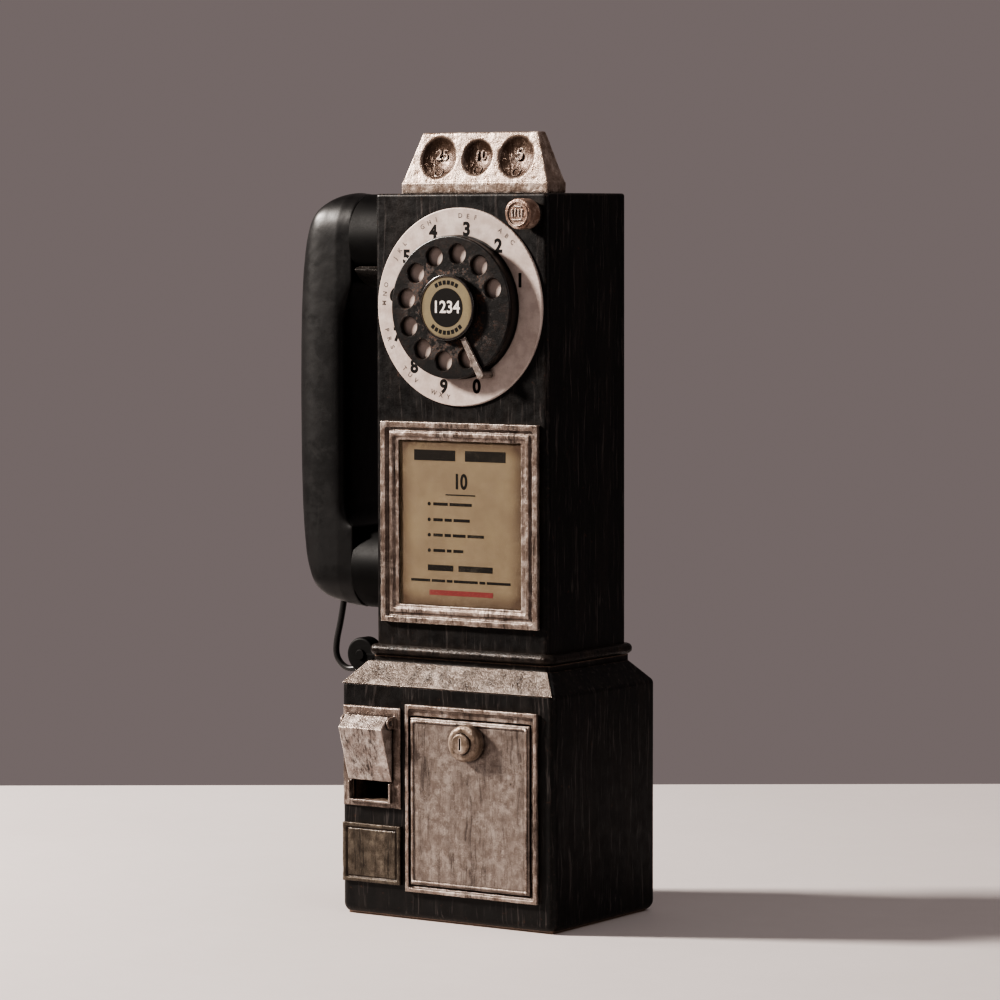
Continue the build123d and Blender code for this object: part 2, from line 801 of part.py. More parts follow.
gear_distance = gear_module * (gear_teeth + pinion_teeth) / 2 + mesh_play
pinion_z = dial_z + gear_distance
with BuildPart() as governor_pinion:
    with BuildSketch(front_at(0, gear_face, pinion_z)):
        toothed_disc(pinion_teeth, pinion_bore, 90 + 180 / pinion_teeth)
    extrude(amount=-gear_width)
save(governor_pinion.part, "governor_pinion")

with BuildPart() as return_spring:
    with BuildSketch(front_at(0, gear_face - spring_gap, dial_z)):
        Circle(spring_radius)
        Circle(spring_bore, mode=Mode.SUBTRACT)
    extrude(amount=spring_thickness)
save(return_spring.part, "return_spring")

with BuildPart() as pinion_post:
    with BuildSketch(front_at(0, case_front + case_wall, pinion_z)):
        Circle(pinion_bore - shaft_play)
    extrude(amount=-(gear_set_back + gear_width + post_overrun))
save(pinion_post.part, "pinion_post")

# a straight bar over the wheel, with its foot on the number plate
bar_front = upper_front - wheel_front - stop_play - stop_thickness
hub_clear = hub_radius + stop_hub_gap
foot_x = stop_foot_radius * cos(radians(stop_angle))
foot_z = dial_z + stop_foot_radius * sin(radians(stop_angle))
stop_plane = Plane(
    origin=(0, bar_front + stop_thickness, dial_z),
    x_dir=(cos(radians(stop_angle)), 0, sin(radians(stop_angle))),
    z_dir=(0, -1, 0),
)
with BuildPart() as finger_stop:
    with BuildSketch(stop_plane):
        with BuildLine():
            Polyline(
                (hub_clear, -stop_tip_width / 2),
                (stop_foot_radius, -stop_width / 2),
                (stop_foot_radius, stop_width / 2),
                (hub_clear, stop_tip_width / 2),
                close=True,
            )
        make_face()
        with Locations((stop_foot_radius, 0)):
            Circle(stop_width / 2)
    extrude(amount=stop_thickness)
    fillet(finger_stop.edges().group_by(Axis.Y)[0], stop_edge_soft)
    with BuildSketch(front_at(foot_x, plate_front, foot_z)):
        Circle(stop_width / 2)
    extrude(amount=wheel_front - plate_thickness + stop_play)
save(finger_stop.part, "finger_stop")

# ---- push button ---------------------------------------------------------------------
button_face = upper_front - button_reach
skirt_end = upper_front - button_skirt_gap
skirt_inner = button_radius - button_skirt_wall
bush_outer = skirt_inner - button_play
spring_seat = button_face + button_face_wall
bush_front = spring_seat + button_travel + spring_room

with BuildPart() as push_button:
    with BuildSketch(front_at(button_x, skirt_end, button_z)):
        Circle(button_radius)
    extrude(amount=skirt_end - button_face)
    fillet(push_button.edges().group_by(Axis.Y)[0], button_edge_soft)
    with BuildSketch(front_at(button_x, skirt_end, button_z)):
        Circle(skirt_inner)
    extrude(amount=skirt_end - spring_seat, mode=Mode.SUBTRACT)
    with BuildSketch(front_at(button_x, spring_seat, button_z)):
        Circle(stem_radius)
    extrude(amount=-(upper_front + wall + nut_thickness + stem_overrun - spring_seat))
save(push_button.part, "push_button")

with BuildPart() as button_bush:
    with BuildSketch(front_at(button_x, upper_front, button_z)):
        Circle(bush_outer)
    extrude(amount=upper_front - bush_front)
    with BuildSketch(front_at(button_x, upper_front, button_z)):
        Circle(shank_radius)
    extrude(amount=-(wall + nut_thickness))
    with BuildSketch(front_at(button_x, bush_front, button_z)):
        Circle(stem_radius + button_play / 2)
    extrude(amount=-(upper_front - bush_front + wall + nut_thickness), mode=Mode.SUBTRACT)
save(button_bush.part, "button_bush")

with BuildPart() as button_nut:
    with BuildSketch(front_at(button_x, upper_front + wall, button_z)):
        RegularPolygon(nut_width / 2, 6, major_radius=False)
        Circle(shank_radius, mode=Mode.SUBTRACT)
    extrude(amount=-(nut_thickness - nut_end_gap))
save(button_nut.part, "button_nut")

clip_face = upper_front + wall + nut_thickness + clip_gap
with BuildPart() as button_clip:
    with BuildSketch(front_at(button_x, clip_face, button_z)):
        Circle(stem_radius + clip_wall)
        Circle(stem_radius, mode=Mode.SUBTRACT)
    extrude(amount=-clip_thickness)
save(button_clip.part, "button_clip")

with BuildPart() as button_spring:
    with BuildSketch(front_at(button_x, bush_front, button_z)):
        Circle(bush_outer - spring_wire_room)
        Circle(bush_outer - spring_wire_room - spring_wire, mode=Mode.SUBTRACT)
    extrude(amount=bush_front - spring_seat)
save(button_spring.part, "button_spring")

# ---- instruction card ----------------------------------------------------------------
frame_z = frame_bottom + frame_height / 2
card_width = frame_width - 2 * card_border
card_height = frame_height - 2 * card_border + card_extra_height
inner_bead_inset = frame_outer_bead + frame_step

with BuildPart() as instruction_frame:
    with BuildSketch(front(upper_front)):
        with Locations((0, frame_z)):
            Rectangle(frame_width, frame_height)
            Rectangle(card_width, card_height, mode=Mode.SUBTRACT)
    extrude(amount=frame_base)
    with BuildSketch(front(upper_front)):
        with Locations((0, frame_z)):
            Rectangle(frame_width, frame_height)
            Rectangle(
                frame_width - 2 * frame_outer_bead, frame_height - 2 * frame_outer_bead, mode=Mode.SUBTRACT
            )
    extrude(amount=frame_outer_rise)
    with BuildSketch(front(upper_front)):
        with Locations((0, frame_z)):
            Rectangle(frame_width - 2 * inner_bead_inset, frame_height - 2 * inner_bead_inset)
            Rectangle(
                frame_width - 2 * (inner_bead_inset + frame_inner_bead),
                frame_height - 2 * (inner_bead_inset + frame_inner_bead),
                mode=Mode.SUBTRACT,
            )
    extrude(amount=frame_inner_rise)
save(instruction_frame.part, "instruction_frame")

with BuildPart() as instruction_card:
    with BuildSketch(front(upper_front)):
        with Locations((0, frame_z)):
            Rectangle(card_width, card_height)
    extrude(amount=card_thickness)
save(instruction_card.part, "instruction_card")

with BuildPart() as instruction_window:
    with BuildSketch(front(upper_front - card_thickness)):
        with Locations((0, frame_z)):
            Rectangle(card_width, card_height)
    extrude(amount=window_thickness)
save(instruction_window.part, "instruction_window")

# ---- coin return ---------------------------------------------------------------------
return_plate_z = return_plate_bottom + return_plate_height / 2
return_face = lower_front - return_plate_thickness
pivot_y = return_face - flap_pivot_reach
pivot_z = flap_top - flap_pivot_reach - flap_pivot_drop
heel_radius = flap_pivot_reach - flap_play
ear_inner = flap_width / 2 + flap_play
lip_bottom = tray_floor - tray_lip_width
lip_top = flap_bottom - tray_lip_top_gap

with BuildPart() as coin_return_plate:
    with BuildSketch(front(lower_front)):
        with Locations((column_x, return_plate_z)):
            Rectangle(column_width, return_plate_height)
    extrude(amount=return_plate_thickness)
    chamfer(coin_return_plate.edges().group_by(Axis.Y)[0], plate_chamfer)
    with BuildSketch(front(lower_front)):
        with Locations((column_x, return_opening_z)):
            Rectangle(return_opening_width, return_opening_height)
    extrude(amount=return_plate_thickness, mode=Mode.SUBTRACT)
    # raised lip round the lower part of the opening
    with BuildSketch(front(return_face)):
        with Locations((column_x, (lip_bottom + lip_top) / 2)):
            Rectangle(return_opening_width + 2 * tray_lip_width, lip_top - lip_bottom)
        with Locations((column_x, (tray_floor + lip_top) / 2 + past / 2)):
            Rectangle(return_opening_width, lip_top - tray_floor + past, mode=Mode.SUBTRACT)
    extrude(amount=tray_lip_rise)
    # ears that carry the flap's pin
    for side in (-1, 1):
        with BuildSketch(across(column_x + side * (ear_inner + ear_thickness / 2))):
            with Locations((pivot_y, pivot_z)):
                Circle(heel_radius)
            with Locations(((pivot_y + return_face) / 2, pivot_z)):
                Rectangle(return_face - pivot_y, 2 * heel_radius)
            with Locations((pivot_y, pivot_z)):
                Circle(pin_radius, mode=Mode.SUBTRACT)
        extrude(amount=ear_thickness / 2, both=True)
save(coin_return_plate.part, "coin_return_plate")

# a wedge, deep at the top and thin at its foot, rounded about its pin
with BuildPart() as coin_return_flap:
    with BuildSketch(across(column_x)):
        with BuildLine():
            heel_front = (pivot_y, pivot_z + heel_radius)
            heel_back = (return_face - flap_play, pivot_z)
            Polyline(
                heel_back,
                (return_face - flap_play, flap_bottom),
                (return_face - flap_foot, flap_bottom),
                (return_face - flap_reach, flap_top - flap_fall),
                (pivot_y - flap_brow, pivot_z + heel_radius + flap_brow_rise),
                heel_front,
            )
            TangentArc(heel_back, heel_front, tangent=(0, 1))
        make_face()
    extrude(amount=flap_width / 2, both=True)
    with BuildSketch(across(column_x)):
        with Locations((pivot_y, pivot_z)):
            Circle(pin_radius + pin_play)
    extrude(amount=flap_width / 2, both=True, mode=Mode.SUBTRACT)
save(coin_return_flap.part, "coin_return_flap")

with BuildPart() as flap_pin:
    with BuildSketch(across(column_x)):
        with Locations((pivot_y, pivot_z)):
            Circle(pin_radius)
    extrude(amount=ear_inner + ear_thickness, both=True)
save(flap_pin.part, "flap_pin")

with BuildPart() as return_tray:
    with BuildSketch(front(lower_front + wall)):
        with Locations((column_x, tray_floor + return_opening_height / 2)):
            Rectangle(return_opening_width + 2 * tray_wall, return_opening_height + 2 * tray_wall)
            Rectangle(return_opening_width, return_opening_height, mode=Mode.SUBTRACT)
    extrude(amount=-tray_depth)
    with BuildSketch(front(lower_front + wall + tray_depth)):
        with Locations((column_x, tray_floor + return_opening_height / 2)):
            Rectangle(return_opening_width + 2 * tray_wall, return_opening_height + 2 * tray_wall)
    extrude(amount=-tray_wall)
save(return_tray.part, "return_tray")

with BuildPart() as inspection_panel:
    with BuildSketch(front(lower_front)):
        with Locations((column_x, panel_bottom + panel_height / 2)):
            Rectangle(column_width, panel_height)
    extrude(amount=panel_base)
    with BuildSketch(front(lower_front)):
        with Locations((column_x, panel_bottom + panel_height / 2)):
            Rectangle(column_width, panel_height)
            Rectangle(column_width - 2 * panel_rim, panel_height - 2 * panel_rim, mode=Mode.SUBTRACT)
    extrude(amount=panel_rim_rise)
    with BuildSketch(front(lower_front)):
        with Locations((column_x, panel_bottom + panel_height / 2)):
            Rectangle(
                column_width - 2 * (panel_rim + panel_groove), panel_height - 2 * (panel_rim + panel_groove)
            )
    extrude(amount=panel_field_rise)
save(inspection_panel.part, "inspection_panel")

# ---- vault ---------------------------------------------------------------------------
vault_x = (vault_left + vault_right) / 2
vault_z = vault_bottom + vault_height / 2

with BuildPart() as vault_frame:
    with BuildSketch(front(lower_front)):
        with Locations((vault_x, vault_z)):
            Rectangle(vault_width, vault_height)
        with Locations((door_x, door_z)):
            Rectangle(door_width + 2 * door_play, door_height + 2 * door_play, mode=Mode.SUBTRACT)
    extrude(amount=vault_frame_base)
    with BuildSketch(front(lower_front)):
        with Locations((vault_x, vault_z)):
            Rectangle(vault_width, vault_height)
            Rectangle(
                vault_width - 2 * min(vault_bead, vault_border_left - door_play),
                vault_height - 2 * vault_bead,
                mode=Mode.SUBTRACT,
            )
    extrude(amount=vault_bead_rise)
save(vault_frame.part, "vault_frame")

lock_z = door_top - lock_drop
door_face = lower_front - door_front_rise
door_rear = door_face + door_thickness
with BuildPart() as vault_door:
    with BuildSketch(front(door_rear)):
        with Locations((door_x, door_z)):
            Rectangle(door_width, door_height)
    extrude(amount=door_thickness)
    chamfer(vault_door.edges().group_by(Axis.Y)[0], plate_chamfer)
    with BuildSketch(front(door_rear)):
        with Locations((door_x, lock_z)):
            Circle(lock_shaft_radius + lock_play)
    extrude(amount=door_thickness, mode=Mode.SUBTRACT)
save(vault_door.part, "vault_door")

with BuildPart() as lock_ring:
    with BuildSketch(front(door_face)):
        with Locations((door_x, lock_z)):
            Circle(lock_ring_radius)
    extrude(amount=lock_ring_rise)
    fillet(lock_ring.edges().group_by(Axis.Y)[0], lock_ring_soft)
    with BuildSketch(front(door_face)):
        with Locations((door_x, lock_z)):
            Circle(lock_plug_radius + lock_play)
    extrude(amount=lock_ring_rise, mode=Mode.SUBTRACT)
save(lock_ring.part, "lock_ring")

tongue_face = lower_front + wall + tongue_gap
with BuildPart() as lock_plug:
    with BuildSketch(front(door_face - lock_face_gap)):
        with Locations((door_x, lock_z)):
            Circle(lock_plug_radius)
    extrude(amount=lock_plug_rise)
    fillet(lock_plug.edges().group_by(Axis.Y)[0], lock_plug_soft)
    with BuildSketch(front(door_face - lock_face_gap - lock_plug_rise)):
        with Locations((door_x, lock_z)):
            Rectangle(keyway_width, keyway_height)
    extrude(amount=-keyway_depth, mode=Mode.SUBTRACT)
    with BuildSketch(front(tongue_face + tongue_thickness)):
        with Locations((door_x, lock_z)):
            Circle(lock_shaft_radius)
    extrude(amount=tongue_face + tongue_thickness - door_face + past)
save(lock_plug.part, "lock_plug")

with BuildPart() as lock_tongue:
    with BuildSketch(front(tongue_face + tongue_thickness)):
        with Locations((door_x + tongue_length / 2, lock_z)):
            Rectangle(tongue_length, tongue_width)
        with Locations((door_x, lock_z)):
            Circle(tongue_hub_radius)
            Circle(lock_shaft_radius, mode=Mode.SUBTRACT)
    extrude(amount=tongue_thickness)
save(lock_tongue.part, "lock_tongue")

box_front = tongue_face + tongue_thickness + box_front_gap
box_width = door_width - 2 * box_play
box_bottom = door_bottom + box_play
box_height = door_height - 2 * box_play - tongue_room
liner_width = door_width + 2 * door_play
liner_depth = box_front - (lower_front + wall) + box_depth + box_rear_gap

liner_height = door_height - tongue_room
with BuildPart() as vault_liner:
    with BuildSketch(front(lower_front + wall)):
        with Locations((door_x, door_bottom + liner_height / 2 - liner_wall / 2)):
            Rectangle(liner_width + 2 * liner_wall, liner_height + liner_wall)
        with Locations((door_x, door_bottom + (liner_height + past) / 2)):
            Rectangle(liner_width, liner_height + past, mode=Mode.SUBTRACT)
    extrude(amount=-liner_depth)
    with BuildSketch(front(lower_front + wall + liner_depth)):
        with Locations((door_x, door_bottom + liner_height / 2 - liner_wall / 2)):
            Rectangle(liner_width + 2 * liner_wall, liner_height + liner_wall)
    extrude(amount=-liner_wall)
save(vault_liner.part, "vault_liner")

with BuildPart() as cash_box:
    with BuildSketch(Plane.XY.offset(box_bottom)):
        with Locations((door_x, box_front + box_depth / 2)):
            Rectangle(box_width, box_depth)
    extrude(amount=box_height)
    with BuildSketch(Plane.XY.offset(box_bottom + box_wall)):
        with Locations((door_x, box_front + box_depth / 2)):
            Rectangle(box_width - 2 * box_wall, box_depth - 2 * box_wall)
    extrude(amount=box_height, mode=Mode.SUBTRACT)
save(cash_box.part, "cash_box")

# ---- handset -------------------------------------------------------------------------
cap_joint = -upper_side - cap_joint_x
cap_face = -upper_side - cap_gap
back_x = cap_joint - back_bulge
grip_x = back_x + grip_thickness

# corners of the back's outline, and the long arc between crown and chin
crown = Vector(back_x + crown_inset, ear_top)
bow = Vector(back_x - bow_overrun, (ear_top + mouth_bottom) / 2 - bow_drop)
chin = Vector(back_x + chin_inset, mouth_bottom + chin_rise)
bow_turn = (bow - crown).get_angle(chin - bow)
back_arc_length = back_arc_share * min((bow - crown).length, (chin - bow).length)
back_radius = back_arc_length / tan(radians(bow_turn) / 2)

with BuildPart() as handle_form:
    with BuildSketch(front(handset_y)):
        with BuildLine():
            FilletPolyline(
                (cap_joint, ear_top),
                crown,
                bow,
                chin,
                (cap_joint, mouth_bottom),
                radius=[crown_radius, back_radius, chin_radius],
            )
            Line((cap_joint, mouth_bottom), (cap_joint, mouth_z + mouth_cap_radius))
            FilletPolyline(
                (cap_joint, mouth_z + mouth_cap_radius),
                (grip_x, mouth_z + mouth_cap_radius + grip_mouth_flare),
                (grip_x, ear_z - cap_radius - grip_ear_flare),
                (cap_joint, ear_z - cap_radius),
                radius=grip_corner_radius,
            )
            Line((cap_joint, ear_z - cap_radius), (cap_joint, ear_top))
        make_face()
    extrude(amount=handle_depth / 2, both=True)
    # seen from above its back is rounded, and seen from the side its ends are
    with BuildSketch(Plane.XY.offset(mouth_bottom)):
        with Locations((cap_joint, handset_y)):
            RectangleRounded(2 * back_bulge, handle_depth, handle_soft)
    extrude(amount=handset_length, mode=Mode.INTERSECT)
    with BuildSketch(across(cap_joint)):
        with Locations((handset_y, (ear_top + mouth_bottom) / 2)):
            RectangleRounded(handle_depth, handset_length, handle_end_soft)
    extrude(amount=-back_bulge - past, mode=Mode.INTERSECT)


def cap_plane(x, z):
    """Plane of a cap's face: outward is +X, towards the housing."""
    return Plane(origin=(x, handset_y, z), x_dir=(0, 1, 0), z_dir=(1, 0, 0))


for name, radius, z in (("ear_cap", cap_radius, ear_z), ("mouth_cap", mouth_cap_radius, mouth_z)):
    with BuildPart() as cap:
        with BuildSketch(cap_plane(cap_joint, z)):
            Circle(radius)
        extrude(amount=cap_face - cap_joint)
        fillet(cap.edges().group_by(Axis.X)[-1], cap_edge_soft)
        with BuildSketch(cap_plane(cap_joint, z)):
            Circle(radius - cap_wall)
        extrude(amount=cap_face - cap_joint - cap_wall, mode=Mode.SUBTRACT)
        with BuildSketch(cap_plane(cap_face, z)):
            Circle(sound_hole)
            with PolarLocations(sound_hole_ring, 6):
                Circle(sound_hole)
        extrude(amount=-cap_wall, mode=Mode.SUBTRACT)
    save(cap.part, name)

capsule_face = cap_face - cap_wall - capsule_face_gap
for name, radius, z in (
    ("receiver_capsule", cap_radius, ear_z),
    ("transmitter_capsule", mouth_cap_radius, mouth_z),
):
    with BuildPart() as capsule:
        with BuildSketch(cap_plane(capsule_face, z)):
            Circle(radius - cap_wall - capsule_play)
        extrude(amount=-capsule_thickness)
        with BuildSketch(cap_plane(capsule_face - capsule_thickness, z)):
            Circle((radius - cap_wall) * capsule_back_share)
        extrude(amount=-(capsule_face - capsule_thickness - cap_joint))
    save(capsule.part, name)

# ---- hook lever ----------------------------------------------------------------------
trough_front = -upper_side - lever_gap
trough_length = cap_joint_x - lever_gap - trough_end_gap
with BuildPart() as hook_lever:
    with BuildSketch(cap_plane(trough_front, ear_z)):
        with BuildLine():
            start_angle = -90 - lever_trough_sweep
            CenterArc((0, 0), trough_outer, start_angle, 2 * lever_trough_sweep)
            CenterArc((0, 0), trough_inner, start_angle, 2 * lever_trough_sweep)
            for angle in (start_angle, start_angle + 2 * lever_trough_sweep):
                Line(
                    (trough_inner * cos(radians(angle)), trough_inner * sin(radians(angle))),
                    (trough_outer * cos(radians(angle)), trough_outer * sin(radians(angle))),
                )
        make_face()
    extrude(amount=-trough_length)
    with BuildSketch(front(handset_y)):
        with Locations(((trough_front - lever_overlap + pivot_x) / 2, arm_z)):
            Rectangle(pivot_x - trough_front + lever_overlap, lever_arm_thickness)
        with Locations((pivot_x, arm_z)):
            Circle(lever_boss_radius)
        with Locations((pivot_x + lever_tail_length / 2, arm_z)):
            Rectangle(lever_tail_length, lever_tail_thickness)
    extrude(amount=lever_arm_width / 2, both=True)
    with BuildSketch(front(handset_y)):
        with Locations((pivot_x, arm_z)):
            Circle(hook_pin_radius + pin_play)
    extrude(amount=lever_arm_width / 2, both=True, mode=Mode.SUBTRACT)
save(hook_lever.part, "hook_lever")

with BuildPart() as hook_bracket:
    for side in (-1, 1):
        with BuildSketch(front(handset_y + side * (lever_arm_width / 2 + bracket_gap + bracket_cheek / 2))):
            with Locations((pivot_x, arm_z)):
                Circle(bracket_width / 2)
            with Locations(((pivot_x - upper_side + wall) / 2, arm_z)):
                Rectangle(pivot_x + upper_side - wall, bracket_width)
            with Locations((pivot_x, arm_z)):
                Circle(hook_pin_radius, mode=Mode.SUBTRACT)
        extrude(amount=bracket_cheek / 2, both=True)
save(hook_bracket.part, "hook_bracket")

with BuildPart() as hook_pin:
    with BuildSketch(front(handset_y)):
        with Locations((pivot_x, arm_z)):
            Circle(hook_pin_radius)
    extrude(amount=lever_arm_width / 2 + bracket_gap + bracket_cheek, both=True)
save(hook_pin.part, "hook_pin")

# ---- handset cord --------------------------------------------------------------------
# The route starts under the handset and ends in the rim of the round cord outlet.
cord_route = [
    Vector(-115.4, handset_y, 180.2),
    Vector(-117.6, handset_y, 168.0),
    Vector(-121.0, handset_y, 156.0),
    Vector(-121.6, handset_y, 146.2),
    Vector(-116.6, handset_y, 140.0),
    Vector(-109.6, handset_y, 138.0),
    Vector(-102.8, handset_y, 140.4),
]
outlet_x = -99.8
outlet_z = 148.2

radii = []
for before, here, after in zip(cord_route, cord_route[1:], cord_route[2:]):
    turn = (here - before).get_angle(after - here)
    shorter = min((here - before).length, (after - here).length)
    radii.append(0.45 * shorter / tan(radians(turn) / 2))
print("cord arc radii, mm:", [round(radius, 1) for radius in radii])
with BuildPart() as handset_cord:
    with BuildLine() as cord_line:
        FilletPolyline(*cord_route, radius=radii)
    cord_path = cord_line.wire()
    with BuildSketch(Plane(origin=cord_path @ 0, z_dir=cord_path % 0)):
        Circle(cord_diameter / 2)
    sweep()
cord_section = pi * cord_diameter**2 / 4
print("cord length, mm:", round(cord_path.length, 1))
cord_share = handset_cord.part.volume / (cord_path.length * cord_section)
print("cord volume over section x length:", round(cord_share, 4))
save(handset_cord.part, "handset_cord")

bush_bottom = cord_route[0].Z + bush_gap
with BuildPart() as handset_bush:
    with BuildSketch(Plane(origin=(cord_route[0].X, handset_y, bush_bottom))):
        Circle(bush_radius)
    extrude(amount=bush_length)
    fillet(handset_bush.edges().group_by(Axis.Z)[0], bush_edge_soft)
save(handset_bush.part, "handset_bush")

# the handle is bored for the bush
with BuildPart() as handset_handle:
    add(handle_form.part)
    with BuildSketch(Plane(origin=(cord_route[0].X, handset_y, bush_bottom))):
        Circle(bush_radius)
    extrude(amount=bush_length, mode=Mode.SUBTRACT)
save(handset_handle.part, "handset_handle")

with BuildPart() as cord_outlet:
    with BuildSketch(front(handset_y)):
        with Locations((outlet_x, outlet_z)):
            Circle(outlet_radius)
    extrude(amount=outlet_thickness / 2, both=True)
    fillet(cord_outlet.edges().group_by(Axis.Y)[0], outlet_edge_soft)
    with BuildSketch(front(handset_y)):
        with Locations((outlet_x, outlet_z)):
            Circle(outlet_hub_radius)
    extrude(amount=outlet_thickness / 2 + outlet_hub_rise)
    fillet(cord_outlet.edges().group_by(Axis.Y)[0], outlet_hub_soft)
    with BuildSketch(across(outlet_x)):
        with Locations((handset_y, outlet_z)):
            Circle(outlet_arm_radius)
    extrude(amount=-outlet_x - upper_side + outlet_arm_overrun)
    add(lower_form.part, mode=Mode.SUBTRACT)
    add(lower_housing.part, mode=Mode.SUBTRACT)
    add(handset_cord.part, mode=Mode.SUBTRACT)
save(cord_outlet.part, "cord_outlet")

# ---- ringer ----------------------------------------------------------------------------
inside_back = upper_back - rear_wall
ringer_plate_y = inside_back - ringer_plate_thickness
with BuildPart() as ringer_plate:
    with BuildSketch(front(inside_back)):
        with Locations((0, ringer_z + ringer_plate_rise)):
            Rectangle(upper_width - 2 * wall - ringer_plate_side_gap, ringer_plate_height)
    extrude(amount=ringer_plate_thickness)
save(ringer_plate.part, "ringer_plate")

# two shallow bells on posts
gong_rim_y = ringer_plate_y - gong_stand
gong_places = ((-gong_spacing / 2, ringer_z), (gong_spacing / 2, ringer_z))
with BuildPart() as gongs:
    with BuildSketch(front(ringer_plate_y)):
        with Locations(*gong_places):
            Circle(gong_post_radius)
    extrude(amount=gong_stand + gong_height)
    with BuildSketch(front(gong_rim_y)):
        with Locations(*gong_places):
            Circle(gong_radius)
            Circle(gong_radius - gong_wall, mode=Mode.SUBTRACT)
    extrude(amount=gong_height)
    with BuildSketch(front(gong_rim_y - gong_height)):
        with Locations(*gong_places):
            Circle(gong_radius)
    extrude(amount=gong_wall)
save(gongs.part, "gongs")

coil_y = ringer_plate_y - coil_stand
coil_z = ringer_z + coil_rise
with BuildPart() as ringer_coil:
    with BuildSketch(across(0)):
        with Locations((coil_y, coil_z)):
            Circle(coil_radius)
    extrude(amount=coil_half_length, both=True)
    for side in (-1, 1):
        with BuildSketch(across(side * coil_half_length)):
            with Locations((coil_y, coil_z)):
                Rectangle(2 * coil_stand, coil_cheek)
        extrude(amount=coil_cheek_thickness * side)
save(ringer_coil.part, "ringer_coil")

# the clapper's arm hangs between the bells from a pin under the coil
clapper_y = gong_rim_y - gong_height / 2
clapper_pivot_z = ringer_z + clapper_reach
with BuildPart() as clapper_pin:
    with BuildSketch(front(ringer_plate_y)):
        with Locations((0, clapper_pivot_z)):
            Circle(clapper_pin_radius)
    extrude(amount=ringer_plate_y - clapper_y + clapper_pin_overrun)
save(clapper_pin.part, "clapper_pin")

with BuildPart() as clapper:
    with BuildSketch(front(clapper_y + clapper_thickness / 2)):
        with Locations((0, clapper_pivot_z)):
            Circle(clapper_hub_radius)
        with Locations((0, clapper_pivot_z - clapper_reach / 2)):
            Rectangle(clapper_wire, clapper_reach)
        with Locations((0, clapper_pivot_z)):
            Circle(clapper_pin_radius + pin_play, mode=Mode.SUBTRACT)
    extrude(amount=clapper_thickness)
    with BuildSketch(front(clapper_y + clapper_ball_length / 2)):
        with Locations((0, ringer_z)):
            Circle(clapper_ball_radius)
    extrude(amount=clapper_ball_length)
save(clapper.part, "clapper")

block_x = upper_side - wall - block_side_gap - block_width / 2
block_z = ringer_z + block_rise
with BuildPart() as terminal_block:
    with BuildSketch(front(inside_back)):
        with Locations((block_x, block_z)):
            Rectangle(block_width, block_height)
    extrude(amount=block_depth)
    with BuildSketch(front(inside_back - block_depth)):
        with Locations((block_x, block_z)):
            with GridLocations(terminal_pitch_x, terminal_pitch_z, 2, 5):
                Circle(terminal_radius)
    extrude(amount=terminal_rise)
save(terminal_block.part, "terminal_block")
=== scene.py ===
from math import asin, cos, exp, pi, radians, sin, sqrt

import bmesh
import bpy
from mathutils import Matrix, Vector, noise


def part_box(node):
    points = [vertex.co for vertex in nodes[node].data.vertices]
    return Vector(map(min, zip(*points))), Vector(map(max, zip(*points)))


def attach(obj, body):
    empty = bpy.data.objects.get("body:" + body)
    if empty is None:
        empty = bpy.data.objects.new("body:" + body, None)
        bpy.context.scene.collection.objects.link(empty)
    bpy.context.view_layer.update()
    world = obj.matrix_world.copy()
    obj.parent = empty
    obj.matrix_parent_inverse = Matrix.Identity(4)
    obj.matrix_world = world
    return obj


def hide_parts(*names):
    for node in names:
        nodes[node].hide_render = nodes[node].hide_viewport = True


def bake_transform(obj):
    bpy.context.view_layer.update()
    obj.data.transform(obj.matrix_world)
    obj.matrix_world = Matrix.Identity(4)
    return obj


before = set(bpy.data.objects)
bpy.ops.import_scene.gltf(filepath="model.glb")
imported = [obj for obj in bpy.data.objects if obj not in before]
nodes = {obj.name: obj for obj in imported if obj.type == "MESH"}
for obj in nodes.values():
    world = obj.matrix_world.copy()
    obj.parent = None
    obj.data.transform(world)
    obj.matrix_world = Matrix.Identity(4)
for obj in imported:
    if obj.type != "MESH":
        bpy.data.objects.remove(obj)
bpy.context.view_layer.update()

# ---- camera --------------------------------------------------------------------------
# A long lens at the height of the number plate, from the telephone's right-hand side.
view_turn = radians(33.748)
view_drop = radians(3.816)
view_roll = radians(-0.101)
view_distance = 2.4866
view_target = Vector((0.0, 0.0, 0.2458))
view_slide = 0.00098

view_back = Vector((sin(view_turn) * cos(view_drop), -cos(view_turn) * cos(view_drop), sin(view_drop)))
view_level = Vector((cos(view_turn), sin(view_turn), 0.0))
view_up = view_back.cross(view_level)
lens = bpy.data.cameras.new("camera")
lens.lens = 150.93
lens.sensor_width = 36.0
lens.clip_end = 50.0
camera = bpy.data.objects.new("camera", lens)
bpy.context.scene.collection.objects.link(camera)
camera_right = view_level * cos(view_roll) + view_up * sin(view_roll)
camera_up = view_up * cos(view_roll) - view_level * sin(view_roll)
camera_place = Matrix((camera_right, camera_up, view_back)).transposed().to_4x4()
camera_place.translation = view_target + view_back * view_distance + view_level * view_slide
camera.matrix_world = camera_place
bpy.context.scene.camera = camera


# ---- handset cord --------------------------------------------------------------------
# A short rubber-sheathed cord. It hangs from the lower end of the handset and turns up into
# the rim of the round outlet on the housing's shoulder.
cord_diameter = 0.0038
cord_points = [
    (-0.1154, 0.003, 0.1802),
    (-0.1176, 0.003, 0.1680),
    (-0.1210, 0.003, 0.1560),
    (-0.1216, 0.003, 0.1462),
    (-0.1166, 0.003, 0.1400),
    (-0.1096, 0.003, 0.1380),
    (-0.1028, 0.003, 0.1404),
]
cord_sides = 20


